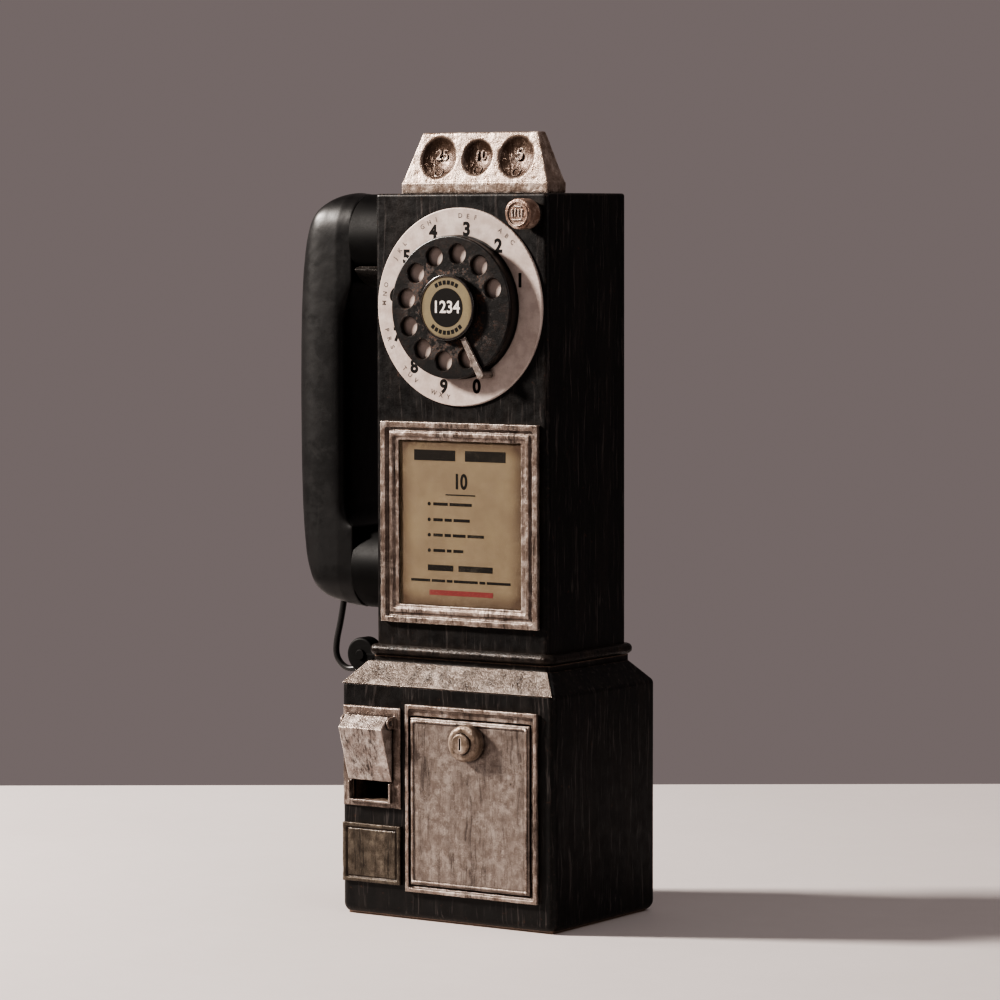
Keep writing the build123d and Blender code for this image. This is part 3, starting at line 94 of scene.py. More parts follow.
def put(tree, kind, sockets=None, **settings):
    """Adds a shader node, sets its properties and fills its sockets with values or links."""
    node = tree.nodes.new(kind)
    for name, value in settings.items():
        setattr(node, name, value)
    for name, value in (sockets or {}).items():
        if isinstance(value, bpy.types.NodeSocket):
            tree.links.new(value, node.inputs[name])
        else:
            node.inputs[name].default_value = value
    return node


def mixed(tree, factor, first, second, blend="MIX"):
    """A colour mix: first where factor is 0 and second where it is 1."""
    node = put(tree, "ShaderNodeMix", data_type="RGBA", blend_type=blend, clamp_factor=True)
    for index, value in ((0, factor), (6, first), (7, second)):
        if isinstance(value, bpy.types.NodeSocket):
            tree.links.new(value, node.inputs[index])
        else:
            node.inputs[index].default_value = value
    return node.outputs[2]


def sums(tree, operation, first, second=0.0, third=None):
    """A clamped Math node."""
    node = put(tree, "ShaderNodeMath", {0: first, 1: second}, operation=operation, use_clamp=True)
    if third is not None:
        if isinstance(third, bpy.types.NodeSocket):
            tree.links.new(third, node.inputs[2])
        else:
            node.inputs[2].default_value = third
    return node.outputs[0]


def ranged(tree, value, low, high, to_low=0.0, to_high=1.0):
    """Spreads a value between two limits over another range."""
    return put(
        tree, "ShaderNodeMapRange",
        {"Value": value, "From Min": low, "From Max": high, "To Min": to_low, "To Max": to_high},
        interpolation_type="SMOOTHSTEP",
    ).outputs[0]


def group(name, inputs, outputs):
    """A new shader node group with float inputs and outputs, and its two end nodes."""
    tree = bpy.data.node_groups.new(name, "ShaderNodeTree")
    for socket, value in inputs.items():
        made = tree.interface.new_socket(name=socket, in_out="INPUT", socket_type="NodeSocketFloat")
        made.default_value = value
    for socket in outputs:
        tree.interface.new_socket(name=socket, in_out="OUTPUT", socket_type="NodeSocketFloat")
    return tree, tree.nodes.new("NodeGroupInput").outputs, tree.nodes.new("NodeGroupOutput").inputs


def placed(tree, shared, values=None):
    """Puts a shared group into a material with its own values and returns its outputs."""
    return put(tree, "ShaderNodeGroup", values, node_tree=shared).outputs


def surface(name, **sockets):
    """An empty material with one Principled shader; returns the material, its tree and the shader."""
    material = bpy.data.materials.new(name)
    material.use_nodes = True
    tree = material.node_tree
    tree.nodes.clear()
    shader = put(tree, "ShaderNodeBsdfPrincipled", {key.replace("_", " "): v for key, v in sockets.items()})
    put(tree, "ShaderNodeOutputMaterial", {"Surface": shader.outputs[0]})
    return material, tree, shader


def feed(tree, shader, **sockets):
    """Links what varies over the surface into the shader."""
    for key, socket in sockets.items():
        tree.links.new(socket, shader.inputs[key.replace("_", " ")])


def bumped(tree, height, strength, distance, edge_radius=0.0):
    """A normal raised by a height, over edges rounded to a radius where one is given."""
    sockets = {"Height": height, "Strength": strength, "Distance": distance}
    if edge_radius:
        sockets["Normal"] = put(tree, "ShaderNodeBevel", {"Radius": edge_radius}, samples=4).outputs[0]
    return put(tree, "ShaderNodeBump", sockets).outputs[0]


def axis_distance(tree, x, z):
    """Distance from an axis that runs from front to back through a point."""
    where = put(tree, "ShaderNodeTexCoord").outputs["Object"]
    off = put(tree, "ShaderNodeVectorMath", {0: where, 1: (-x, 0.0, -z)}, operation="ADD").outputs[0]
    flat = put(tree, "ShaderNodeVectorMath", {0: off, 1: (1.0, 0.0, 1.0)}, operation="MULTIPLY").outputs[0]
    return put(tree, "ShaderNodeVectorMath", {0: flat}, operation="LENGTH").outputs["Value"]


# uneven surface of hand-worked and hand-painted metal: soft lumps under a fine grain
lumps, given, made = group("uneven_surface", {"Lump": 110.0, "Grain": 900.0, "Grain share": 0.3}, ["Height"])
where = put(lumps, "ShaderNodeTexCoord").outputs["Object"]
soft_lump, fine_grain = (
    put(lumps, "ShaderNodeTexNoise", {"Vector": where, "Scale": given[scale], "Detail": detail}).outputs[0]
    for scale, detail in (("Lump", 3.0), ("Grain", 4.0))
)
lump_mix = put(
    lumps, "ShaderNodeMix", {0: given["Grain share"], 2: soft_lump, 3: fine_grain}, data_type="FLOAT"
).outputs[0]
lumps.links.new(lump_mix, made["Height"])

cord_black, tree, shader = surface("cord_black", Roughness=0.38, Specular_IOR_Level=0.5)
uneven = placed(tree, lumps, {"Lump": 400.0, "Grain": 2500.0})
feed(
    tree, shader,
    Base_Color=mixed(tree, uneven["Height"], (0.006, 0.006, 0.006, 1), (0.022, 0.02, 0.019, 1)),
    Normal=bumped(tree, uneven["Height"], 0.25, 0.0002),
)


def route_line(name, points):
    """The points of a smooth NURBS line that has the given points as its control points."""
    curve = bpy.data.curves.new(name, "CURVE")
    curve.dimensions = "3D"
    spline = curve.splines.new("NURBS")
    spline.points.add(len(points) - 1)
    for control, point in zip(spline.points, points):
        control.co = (*point, 1.0)
    spline.order_u = 3
    spline.use_endpoint_u = True
    spline.resolution_u = 14
    carrier = bpy.data.objects.new(name, curve)
    mesh = bpy.data.meshes.new_from_object(carrier)
    line = [vertex.co.copy() for vertex in mesh.vertices]
    bpy.data.meshes.remove(mesh)
    bpy.data.objects.remove(carrier)
    return line


def finished(name, bm, material, smooth=35.0):
    """Turns a bmesh into an object of the scene, smooth except at edges sharper than the angle."""
    bmesh.ops.recalc_face_normals(bm, faces=bm.faces)
    for edge in bm.edges:
        edge.smooth = len(edge.link_faces) == 2 and edge.calc_face_angle() < radians(smooth)
    for face in bm.faces:
        face.smooth = True
    mesh = bpy.data.meshes.new(name)
    bm.to_mesh(mesh)
    bm.free()
    mesh.materials.append(material)
    made_object = bpy.data.objects.new(name, mesh)
    bpy.context.scene.collection.objects.link(made_object)
    return made_object


def tube(bm, loops):
    """Skins a run of vertex loops and closes both ends."""
    sides = len(loops[0])
    for first, second in zip(loops, loops[1:]):
        for side in range(sides):
            other = (side + 1) % sides
            bm.faces.new((first[side], first[other], second[other], second[side]))
    bm.faces.new(loops[0])
    bm.faces.new(reversed(loops[-1]))


cord_line = route_line("cord_route", cord_points)
cord_mesh = bmesh.new()
rings = []
sideways = Vector((0, 1, 0))
for index, point in enumerate(cord_line):
    before = cord_line[max(index - 1, 0)]
    after = cord_line[min(index + 1, len(cord_line) - 1)]
    outward = (after - before).normalized().cross(sideways)
    rings.append([
        cord_mesh.verts.new(
            point + (outward * cos(turn) + sideways * sin(turn)) * cord_diameter / 2
        )
        for turn in (2 * pi * side / cord_sides for side in range(cord_sides))
    ])
tube(cord_mesh, rings)
cord = finished("cord", cord_mesh, cord_black)
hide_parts("handset_cord")
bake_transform(cord)

# ---- floor and lights ----------------------------------------------------------------
# A plain pale table top, one small key light from the left and weak fill from the right.
floor_half = 0.56
key_from = Vector((-0.775, -0.41, 0.475))
key_distance = 2.6

floor_mesh = bmesh.new()
bmesh.ops.create_grid(
    floor_mesh, x_segments=4, y_segments=4, size=floor_half, matrix=Matrix.Rotation(view_turn, 4, "Z")
)
floor_pale, tree, shader = surface("floor_pale", Roughness=0.65, Specular_IOR_Level=0.3)
uneven = placed(tree, lumps, {"Lump": 6.0, "Grain": 60.0, "Grain share": 0.4})
feed(
    tree, shader,
    Base_Color=mixed(tree, uneven["Height"], (0.5, 0.465, 0.455, 1), (0.56, 0.525, 0.515, 1)),
)
floor = finished("floor", floor_mesh, floor_pale)


def lamp(name, toward, distance, size, power, colour):
    """A square area light that shines at the middle of the telephone."""
    light = bpy.data.lights.new(name, "AREA")
    light.size = size
    light.energy = power
    light.color = colour
    holder = bpy.data.objects.new(name, light)
    bpy.context.scene.collection.objects.link(holder)
    toward = toward.normalized()
    holder.location = view_target + toward * distance
    holder.rotation_euler = toward.to_track_quat("Z", "Y").to_euler()


lamp("key_light", key_from, key_distance, 0.32, 180.0, (1.0, 0.93, 0.87))
lamp("front_fill", Vector((-0.1, -1.0, 0.25)), 3.0, 2.2, 4.0, (1.0, 0.94, 0.92))
lamp("side_fill", Vector((1.0, -0.35, 0.45)), 3.0, 1.8, 20.0, (1.0, 0.94, 0.92))
lamp("top_fill", Vector((0.2, 0.35, 1.0)), 3.0, 1.6, 9.0, (1.0, 0.96, 0.94))
sky = bpy.data.worlds.new("studio")
bpy.context.scene.world = sky
sky.use_nodes = True
sky.node_tree.nodes["Background"].inputs["Color"].default_value = (0.36, 0.3, 0.295, 1)
sky.node_tree.nodes["Background"].inputs["Strength"].default_value = 0.5
bpy.context.scene.view_settings.view_transform = "AgX"
bpy.context.scene.view_settings.look = "AgX - High Contrast"

# ---- housings ------------------------------------------------------------------------
# Two sheet-steel boxes, one on the other, brushed over by hand with black paint. The paint is
# rubbed through to a bronze undercoat on the edges, and grey bristle marks run down the sides.
worn, given, made = group(
    "worn_edges", {"Reach": 0.0015, "Hollow": 0.004, "Ragged": 320.0}, ["Edge", "Recess"]
)
where = put(worn, "ShaderNodeTexCoord").outputs["Object"]
ragged = put(
    worn, "ShaderNodeTexNoise", {"Vector": where, "Scale": given["Ragged"], "Detail": 5.0}
).outputs[0]
inward = put(
    worn, "ShaderNodeAmbientOcclusion", {"Distance": given["Reach"]}, samples=6, inside=True, only_local=True
).outputs["AO"]
outside = put(worn, "ShaderNodeAmbientOcclusion", {"Distance": given["Hollow"]}, samples=6).outputs["AO"]
edge = sums(worn, "SUBTRACT", 1.0, inward)
edge = sums(worn, "MULTIPLY_ADD", ragged, 0.9, sums(worn, "MULTIPLY", edge, 1.6))
worn.links.new(ranged(worn, edge, 0.72, 0.95), made["Edge"])
recess = sums(worn, "SUBTRACT", 1.0, outside)
recess = sums(worn, "MULTIPLY_ADD", ragged, 0.35, sums(worn, "MULTIPLY", recess, 1.3))
worn.links.new(ranged(worn, recess, 0.3, 0.85), made["Recess"])

strokes, given, made = group(
    "brush_strokes", {"Across": 420.0, "Along": 14.0, "Cover": 0.55, "Fade": 0.12}, ["Stroke"]
)
where = put(strokes, "ShaderNodeTexCoord").outputs["Object"]
stretch = put(
    strokes, "ShaderNodeCombineXYZ", {"X": given["Across"], "Y": given["Across"], "Z": given["Along"]}
).outputs[0]
wander = put(strokes, "ShaderNodeTexNoise", {"Vector": where, "Scale": 30.0}).outputs["Color"]
bent = put(
    strokes, "ShaderNodeVectorMath", {0: wander, 1: (0.006, 0.006, 0.03), 2: where}, operation="MULTIPLY_ADD"
).outputs[0]
along = put(strokes, "ShaderNodeVectorMath", {0: bent, 1: stretch}, operation="MULTIPLY").outputs[0]
bristles = put(
    strokes, "ShaderNodeTexNoise", {"Vector": along, "Scale": 1.0, "Detail": 6.0, "Roughness": 0.65}
).outputs[0]
top = put(strokes, "ShaderNodeMath", {0: given["Cover"], 1: given["Fade"]}, operation="ADD").outputs[0]
strokes.links.new(ranged(strokes, bristles, given["Cover"], top), made["Stroke"])

specks, given, made = group("paint_specks", {"Size": 260.0, "Cover": 0.62}, ["Speck"])
where = put(specks, "ShaderNodeTexCoord").outputs["Object"]
patches = put(
    specks, "ShaderNodeTexNoise", {"Vector": where, "Scale": given["Size"], "Detail": 8.0, "Roughness": 0.72}
).outputs[0]
limit = put(specks, "ShaderNodeMath", {0: given["Cover"], 1: 0.06}, operation="ADD").outputs[0]
specks.links.new(ranged(specks, patches, given["Cover"], limit), made["Speck"])


def casing_paint(name, streak_cover, bronze_cover, edge_colour):
    """Black brushed paint over bronze. A lower cover value shows more streaks or bronze."""
    material, tree, shader = surface(name, Specular_IOR_Level=0.3)
    wear = placed(tree, worn, {"Reach": 0.0012, "Hollow": 0.005, "Ragged": 380.0})
    streak = placed(
        tree, strokes, {"Across": 520.0, "Along": 22.0, "Cover": streak_cover, "Fade": 0.16}
    )["Stroke"]
    broad = placed(tree, strokes, {"Across": 90.0, "Along": 9.0, "Cover": 0.42, "Fade": 0.3})["Stroke"]
    bronze = placed(tree, specks, {"Size": 240.0, "Cover": bronze_cover})["Speck"]
    white = placed(tree, specks, {"Size": 900.0, "Cover": 0.7})["Speck"]
    uneven = placed(tree, lumps, {"Lump": 150.0, "Grain": 1300.0, "Grain share": 0.35})["Height"]
    black = mixed(tree, broad, (0.0024, 0.0018, 0.0016, 1), (0.0095, 0.007, 0.0058, 1))
    grey = mixed(tree, sums(tree, "MULTIPLY", streak, 0.5), black, (0.085, 0.072, 0.067, 1))
    brown = mixed(tree, sums(tree, "MULTIPLY", bronze, 0.7), grey, (0.065, 0.028, 0.014, 1))
    dusty = mixed(tree, sums(tree, "MULTIPLY", wear["Recess"], 0.25), brown, (0.05, 0.035, 0.025, 1))
    rubbed = mixed(tree, wear["Edge"], dusty, edge_colour)
    flecked = mixed(tree, sums(tree, "MULTIPLY", white, 0.6), rubbed, (0.3, 0.27, 0.25, 1))
    height = sums(tree, "MULTIPLY_ADD", streak, 0.25, uneven)
    feed(
        tree, shader,
        Base_Color=flecked,
        Roughness=ranged(tree, uneven, 0.3, 0.7, 0.34, 0.5),
        Metallic=sums(tree, "MULTIPLY", wear["Edge"], 0.5),
        Normal=bumped(tree, height, 0.35, 0.0005, edge_radius=0.0009),
    )
    return material


def paint(material, *names):
    """Gives a finish to CAD pieces."""
    for name in names:
        for material_slot in nodes[name].material_slots:
            material_slot.material = material


casing_black = casing_paint("casing_black", 0.54, 0.63, (0.24, 0.17, 0.13, 1))
paint(casing_black, "lower_housing", "upper_housing", "lower_back_cover", "upper_back_cover", "base_plate")

# ---- collar and front slope ----------------------------------------------------------
# A rolled black bead, worn along its top, hides the joint between the housings. The slope
# below it is faced with a thin plate, streaked with the silver of the other metalwork.


def metal_paint(
    name, pale, mid, dark, stroke, stroke_cover,
    edge=(0.74, 0.64, 0.57, 1), patches=0.45, shine=0.5, reach=0.0008,
):
    """Silver paint dragged over brown: pale on edges, brown in hollows, with bristle marks."""
    material, tree, shader = surface(name, Specular_IOR_Level=0.5)
    wear = placed(tree, worn, {"Reach": reach, "Hollow": 0.0032, "Ragged": 420.0})
    fine = placed(
        tree, strokes, {"Across": 700.0, "Along": 26.0, "Cover": stroke_cover, "Fade": 0.14}
    )["Stroke"]
    broad = placed(tree, strokes, {"Across": 95.0, "Along": 12.0, "Cover": 0.45, "Fade": 0.16})["Stroke"]
    patch = placed(tree, specks, {"Size": 75.0, "Cover": 0.47})["Speck"]
    pit = placed(tree, specks, {"Size": 420.0, "Cover": 0.63})["Speck"]
    grit = placed(tree, specks, {"Size": 1100.0, "Cover": 0.6})["Speck"]
    uneven = placed(tree, lumps, {"Lump": 190.0, "Grain": 1500.0, "Grain share": 0.4})["Height"]
    base = mixed(tree, ranged(tree, uneven, 0.38, 0.62), mid, pale)
    toned = mixed(tree, sums(tree, "MULTIPLY", patch, patches), base, mid)
    streaked = sums(tree, "MULTIPLY", sums(tree, "MULTIPLY_ADD", fine, 0.7, 0.3), broad)
    stroked = mixed(tree, sums(tree, "MULTIPLY", streaked, stroke), toned, dark)
    pitted = mixed(tree, sums(tree, "MULTIPLY", pit, 0.75), stroked, dark)
    gritty = mixed(tree, sums(tree, "MULTIPLY", grit, 0.35), pitted, edge)
    hollow = mixed(tree, wear["Recess"], gritty, (0.022, 0.01, 0.006, 1))
    rubbed = mixed(tree, sums(tree, "MULTIPLY", wear["Edge"], 0.9), hollow, edge)
    height = sums(tree, "MULTIPLY_ADD", fine, -0.25, uneven)
    feed(
        tree, shader,
        Base_Color=rubbed,
        Roughness=ranged(tree, uneven, 0.3, 0.7, 0.28, 0.46),
        Metallic=sums(tree, "MULTIPLY_ADD", wear["Recess"], -shine, shine),
        Normal=bumped(tree, height, 0.6, 0.0007, edge_radius=0.0006),
    )
    return material


rounding_passes = 170


def hand_cast(
    name, node, body, material, cell, uneven, passes=3, rounding=None, swell=0.0, shape=None
):
    """A casting for a CAD piece: softened edges and slightly uneven faces. Rounding gives each
    point its share of a heavier smoothing, swell makes up for what that takes off, and shape
    gives a last shift of each point."""
    rough = bpy.data.objects.new(name, nodes[node].data.copy())
    bpy.context.scene.collection.objects.link(rough)
    remesh = rough.modifiers.new("cells", "REMESH")
    remesh.mode = "VOXEL"
    remesh.voxel_size = cell
    soften = rough.modifiers.new("soften", "SMOOTH")
    soften.factor = 0.5
    soften.iterations = passes
    solid = bpy.data.meshes.new_from_object(rough.evaluated_get(bpy.context.evaluated_depsgraph_get()))
    rough.modifiers.clear()
    share = [0.0] * len(solid.vertices)
    if rounding:
        share = [rounding(vertex.co) for vertex in solid.vertices]
        rough.data = solid
        loose = rough.vertex_groups.new(name="loose")
        for index, weight in enumerate(share):
            loose.add([index], weight, "REPLACE")
        heavy = rough.modifiers.new("heavy", "SMOOTH")
        heavy.vertex_group = "loose"
        heavy.factor = 0.5
        heavy.iterations = rounding_passes
        solid = bpy.data.meshes.new_from_object(rough.evaluated_get(bpy.context.evaluated_depsgraph_get()))
        rough.modifiers.clear()
        rough.vertex_groups.clear()
    shift = Vector((len(name) * 0.37, 0.0, 0.0))
    moved = [
        vertex.co + vertex.normal * (swell * weight + uneven * (
            noise.noise(vertex.co * 170.0 + shift) + 0.5 * noise.noise(vertex.co * 520.0 + shift) - 0.45
        ))
        for vertex, weight in zip(solid.vertices, share)
    ]
    for vertex, place in zip(solid.vertices, moved):
        vertex.co = place + shape(place) if shape else place
    for face in solid.polygons:
        face.use_smooth = True
        face.material_index = 0
    solid.materials.clear()
    solid.materials.append(material)
    rough.data = solid
    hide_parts(node)
    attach(rough, body)
    return rough


slope_silver = metal_paint(
    "slope_silver", (0.25, 0.21, 0.185, 1), (0.11, 0.085, 0.07, 1), (0.016, 0.011, 0.008, 1),
    0.9, 0.46, patches=0.75, edge=(0.5, 0.43, 0.38, 1), reach=0.0003,
)
paint(slope_silver, "slope_panel")
bead_bronze = metal_paint(
    "bead_bronze", (0.035, 0.024, 0.018, 1), (0.012, 0.008, 0.006, 1), (0.003, 0.0025, 0.002, 1), 0.8, 0.42,
    edge=(0.12, 0.09, 0.07, 1), shine=0.4, reach=0.0006,
)
paint(bead_bronze, "collar_bead")

# ---- coin gauge ----------------------------------------------------------------------
# A cast block on the roof with three dished cups and a coin slot behind each. Raised figures
# give the value, and a small ring stands below each figure.
cup_places = (-0.0274, 0.0, 0.0274)
cup_figures = ("25", "10", "5")
cup_radii = (0.0134, 0.0114, 0.0134)
cup_depth = 0.0046
cup_middle = Vector((0.0, -0.0222, 0.448))
gauge_silver = metal_paint(
    "gauge_silver", (0.4, 0.33, 0.285, 1), (0.2, 0.145, 0.112, 1), (0.05, 0.026, 0.016, 1),
    0.45, 0.5, patches=0.55, reach=0.001,
)
tree = gauge_silver.node_tree
shader = next(node for node in tree.nodes if node.type == "BSDF_PRINCIPLED")
painted = shader.inputs["Base Color"].links[0].from_socket
where = put(tree, "ShaderNodeTexCoord").outputs["Object"]
blotch = placed(tree, specks, {"Size": 140.0, "Cover": 0.4})["Speck"]
# the cups' insides are painted dark brown as painted shade in the dished cups, broken up by blotches
cup_shade = 0.0
for cup_x, cup_radius in zip(cup_places, cup_radii):
    away = axis_distance(tree, cup_x, cup_middle.z)
    cup_shade = sums(tree, "ADD", ranged(tree, away, cup_radius * 0.84, cup_radius * 0.96, 1.0, 0.0), cup_shade)
front_side = put(tree, "ShaderNodeSeparateXYZ", {0: where}).outputs["Y"]
cup_shade = sums(tree, "MULTIPLY", cup_shade, ranged(tree, front_side, -0.014, -0.0155))
cup_shade = sums(tree, "MULTIPLY", cup_shade, sums(tree, "MULTIPLY_ADD", blotch, 0.45, 0.5))
tree.links.new(mixed(tree, cup_shade, painted, (0.055, 0.03, 0.018, 1)), shader.inputs["Base Color"])
hand_cast(
    "gauge_block", "coin_gauge", "housing", gauge_silver, cell=0.00045, uneven=0.0002
)
cup_lean = radians(13.35)
figure_height = 0.0078
figure_lift = 0.0024
ring_drop = 0.0082
ring_radius = 0.0028
ring_wire = 0.0005
outward_turn = Matrix.Rotation(pi / 2, 4, "X")


def set_figures(name, marks, material, body, rise):
    """Figures in a plain type, joined into one piece. A mark is its text, height, weight and place."""
    bm = bmesh.new()
    for text, height, weight, place in marks:
        curve = bpy.data.curves.new("mark", "FONT")
        curve.body = text
        curve.align_x = "CENTER"
        curve.align_y = "CENTER"
        curve.size = height / 0.72
        curve.offset = weight
        curve.extrude = rise
        curve.resolution_u = 6
        holder = bpy.data.objects.new("mark", curve)
        mark = bpy.data.meshes.new_from_object(holder)
        mark.transform(place)
        bm.from_mesh(mark)
        bpy.data.meshes.remove(mark)
        bpy.data.objects.remove(holder)
    figures = finished(name, bm, material)
    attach(figures, body)
    return figures


def add_ring(bm, place, radius, wire, turns=40, sides=10):
    """Adds a round wire ring in the local XY plane of a place."""
    loops = []
    for turn in (2 * pi * step / turns for step in range(turns)):
        out = Vector((cos(turn), sin(turn), 0.0))
        loops.append([
            bm.verts.new(place @ (out * (radius + wire * cos(lean)) + Vector((0.0, 0.0, wire * sin(lean)))))
            for lean in (2 * pi * side / sides for side in range(sides))
        ])
    for index, loop in enumerate(loops):
        following = loops[(index + 1) % turns]
        for side in range(sides):
            other = (side + 1) % sides
            bm.faces.new((loop[side], following[side], following[other], loop[other]))


gauge_marks = []
gauge_rings = bmesh.new()
cup_turn = Matrix.Rotation(-cup_lean, 4, "X")
for cup_x, figure, radius in zip(cup_places, cup_figures, cup_radii):
    face = Matrix.Translation(cup_middle + Vector((cup_x, 0.0, 0.0))) @ cup_turn @ outward_turn
    ball = (radius ** 2 + cup_depth ** 2) / (2 * cup_depth)
    floor_depth = ball - cup_depth
    gauge_marks.append((
        figure, figure_height * (0.85 if len(figure) > 1 else 1.0), 0.0002,
        face @ Matrix.Translation((0.0, figure_lift, 0.0004 - cup_depth)),
    ))
    drop = ring_drop * radius / cup_radii[0]
    tilt = Matrix.Rotation(-asin(drop / ball), 4, "X")
    gauge_here = Matrix.Translation((0.0, -drop, floor_depth - sqrt(ball ** 2 - drop ** 2)))
    add_ring(gauge_rings, face @ gauge_here @ tilt, ring_radius, ring_wire)
set_figures("gauge_figures", gauge_marks, gauge_silver, "housing", rise=0.0005)
rings_piece = finished("gauge_rings", gauge_rings, gauge_silver)
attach(rings_piece, "housing")

# ---- number plate --------------------------------------------------------------------
# An enamelled steel disc in warm grey with black figures and fine letters round its rim. It
# steps up under the finger wheel, and its edge is chipped and dark.
plate_low, plate_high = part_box("number_plate")
dial_centre = (plate_low + plate_high) / 2
step_radius = 0.0418
plate_enamel, tree, shader = surface("plate_enamel", Specular_IOR_Level=0.5)
wear = placed(tree, worn, {"Reach": 0.0009, "Hollow": 0.003, "Ragged": 300.0})
grime = placed(tree, specks, {"Size": 60.0, "Cover": 0.5})["Speck"]
fleck = placed(tree, specks, {"Size": 520.0, "Cover": 0.655})["Speck"]
uneven = placed(tree, lumps, {"Lump": 160.0, "Grain": 1400.0, "Grain share": 0.3})["Height"]
base = mixed(tree, ranged(tree, uneven, 0.35, 0.65), (0.4, 0.33, 0.295, 1), (0.5, 0.425, 0.385, 1))
base = mixed(tree, sums(tree, "MULTIPLY", grime, 0.25), base, (0.36, 0.285, 0.245, 1))
base = mixed(tree, sums(tree, "MULTIPLY", fleck, 0.8), base, (0.08, 0.05, 0.04, 1))
base = mixed(tree, sums(tree, "MULTIPLY", wear["Recess"], 0.7), base, (0.06, 0.042, 0.034, 1))
base = mixed(tree, sums(tree, "MULTIPLY", wear["Edge"], 0.6), base, (0.75, 0.67, 0.62, 1))
off_axis = axis_distance(tree, dial_centre.x, dial_centre.z)
# the step's side wall, between the face seen through the wheel and the outer face, is painted black as
# painted shade under the wheel's edge
within = ranged(tree, off_axis, step_radius, step_radius + 0.0004, 1.0, 0.0)
step_wall_shade = sums(tree, "MULTIPLY", within, ranged(tree, off_axis, step_radius - 0.0044, step_radius - 0.0039))
base = mixed(tree, sums(tree, "MULTIPLY", step_wall_shade, 0.95), base, (0.006, 0.005, 0.0045, 1))
feed(
    tree, shader,
    Base_Color=base,
    Roughness=ranged(tree, uneven, 0.3, 0.7, 0.36, 0.55),
    Normal=bumped(tree, uneven, 0.25, 0.0004),
)
paint(plate_enamel, "number_plate")

plate_print_y = -0.0411
numerals = (
    ("1", 20.0, 0.0455), ("2", 52.0, 0.0450), ("3", 83.0, 0.0455), ("4", 112.5, 0.0470),
    ("5", 142.0, 0.0470), ("6", 172.0, 0.0470), ("7", 201.0, 0.0470), ("8", 228.0, 0.0475),
    ("9", 257.0, 0.0480), ("0", 285.0, 0.0480),
)
numeral_height = 0.0078
letter_groups = (
    ("ABC", 51.0), ("DEF", 83.0), ("GHI", 113.0), ("JKL", 142.0), ("MNO", 172.0),
    ("PRS", 201.0), ("TUV", 229.0), ("WXY", 256.0),
)
letter_height = 0.0028
letter_step = radians(5.8)
letter_radius = 0.0532



def ink(name, dark, light, coarse, relief, **sockets):
    """Printing ink, thinner in places."""
    material, tree, shader = surface(name, **sockets)
    uneven = placed(tree, lumps, {"Lump": coarse, "Grain": 3000.0})["Height"]
    feed(
        tree, shader,
        Base_Color=mixed(tree, uneven, dark, light),
        Normal=bumped(tree, uneven, relief, 0.0001),
    )
    return material


print_black = ink(
    "print_black", (0.002, 0.0018, 0.0016, 1), (0.012, 0.0095, 0.008, 1), 700.0, 0.2,
    Roughness=0.6, Specular_IOR_Level=0.15,
)
print_grey, tree, shader = surface("print_grey", Roughness=0.5)
uneven = placed(tree, lumps, {"Lump": 700.0, "Grain": 3000.0})["Height"]
feed(
    tree, shader,
    Base_Color=mixed(
        tree, ranged(tree, uneven, 0.4, 0.6), (0.05, 0.038, 0.032, 1), (0.17, 0.135, 0.115, 1)
    ),
    Normal=bumped(tree, uneven, 0.2, 0.0001),
)


def on_dial(radius, angle, y, turn=0.0):
    """Place on the dial's face, at a radius and an angle from the three o'clock side."""
    spot = Vector((dial_centre.x + radius * cos(angle), y, dial_centre.z + radius * sin(angle)))
    return Matrix.Translation(spot) @ outward_turn @ Matrix.Rotation(turn, 4, "Z")


set_figures(
    "plate_numerals",
    [
        (text, numeral_height, 0.00042, on_dial(radius, radians(angle), plate_print_y))
        for text, angle, radius in numerals
    ],
    print_black, "housing", rise=0.00006,
)
letter_marks = []
for letters, middle in letter_groups:
    upper = middle < 190.0
    for place, letter in zip((-1, 0, 1), letters):
        angle = radians(middle) - place * letter_step * (1 if upper else -1)
        turn = angle + (-pi / 2 if upper else pi / 2)
        spot = on_dial(letter_radius, angle, plate_print_y, turn)
        letter_marks.append((letter, letter_height, 0.00006, spot))
set_figures("plate_letters", letter_marks, print_grey, "housing", rise=0.00005)

# ---- finger wheel --------------------------------------------------------------------
# A pressed wheel in black lacquer. Rust shows through round the hub and the finger holes.
wheel_black, tree, shader = surface("wheel_black", Specular_IOR_Level=0.5)
radius = axis_distance(tree, dial_centre.x, dial_centre.z)
near_hub = ranged(tree, radius, 0.021, 0.037, 1.0, 0.0)
wear = placed(tree, worn, {"Reach": 0.0008, "Hollow": 0.003, "Ragged": 420.0})
rust = placed(tree, specks, {"Size": 150.0, "Cover": 0.48})["Speck"]
rust_tone = placed(tree, specks, {"Size": 700.0, "Cover": 0.5})["Speck"]
chip = placed(tree, specks, {"Size": 500.0, "Cover": 0.64})["Speck"]
uneven = placed(tree, lumps, {"Lump": 240.0, "Grain": 1600.0, "Grain share": 0.4})["Height"]
black = mixed(tree, uneven, (0.003, 0.0028, 0.0026, 1), (0.01, 0.009, 0.008, 1))
rusty = mixed(tree, rust_tone, (0.02, 0.01, 0.006, 1), (0.09, 0.036, 0.015, 1))
amount = sums(tree, "MULTIPLY", rust, sums(tree, "MULTIPLY_ADD", near_hub, 0.8, 0.14))
base = mixed(tree, amount, black, rusty)
base = mixed(tree, sums(tree, "MULTIPLY", chip, 0.35), base, (0.16, 0.12, 0.1, 1))
base = mixed(tree, sums(tree, "MULTIPLY", wear["Edge"], 0.3), base, (0.16, 0.11, 0.08, 1))
feed(
    tree, shader,
    Base_Color=base,
    Roughness=ranged(tree, amount, 0.0, 1.0, 0.34, 0.7),
    Normal=bumped(tree, uneven, 0.5, 0.0006),
)
paint(wheel_black, "finger_wheel")

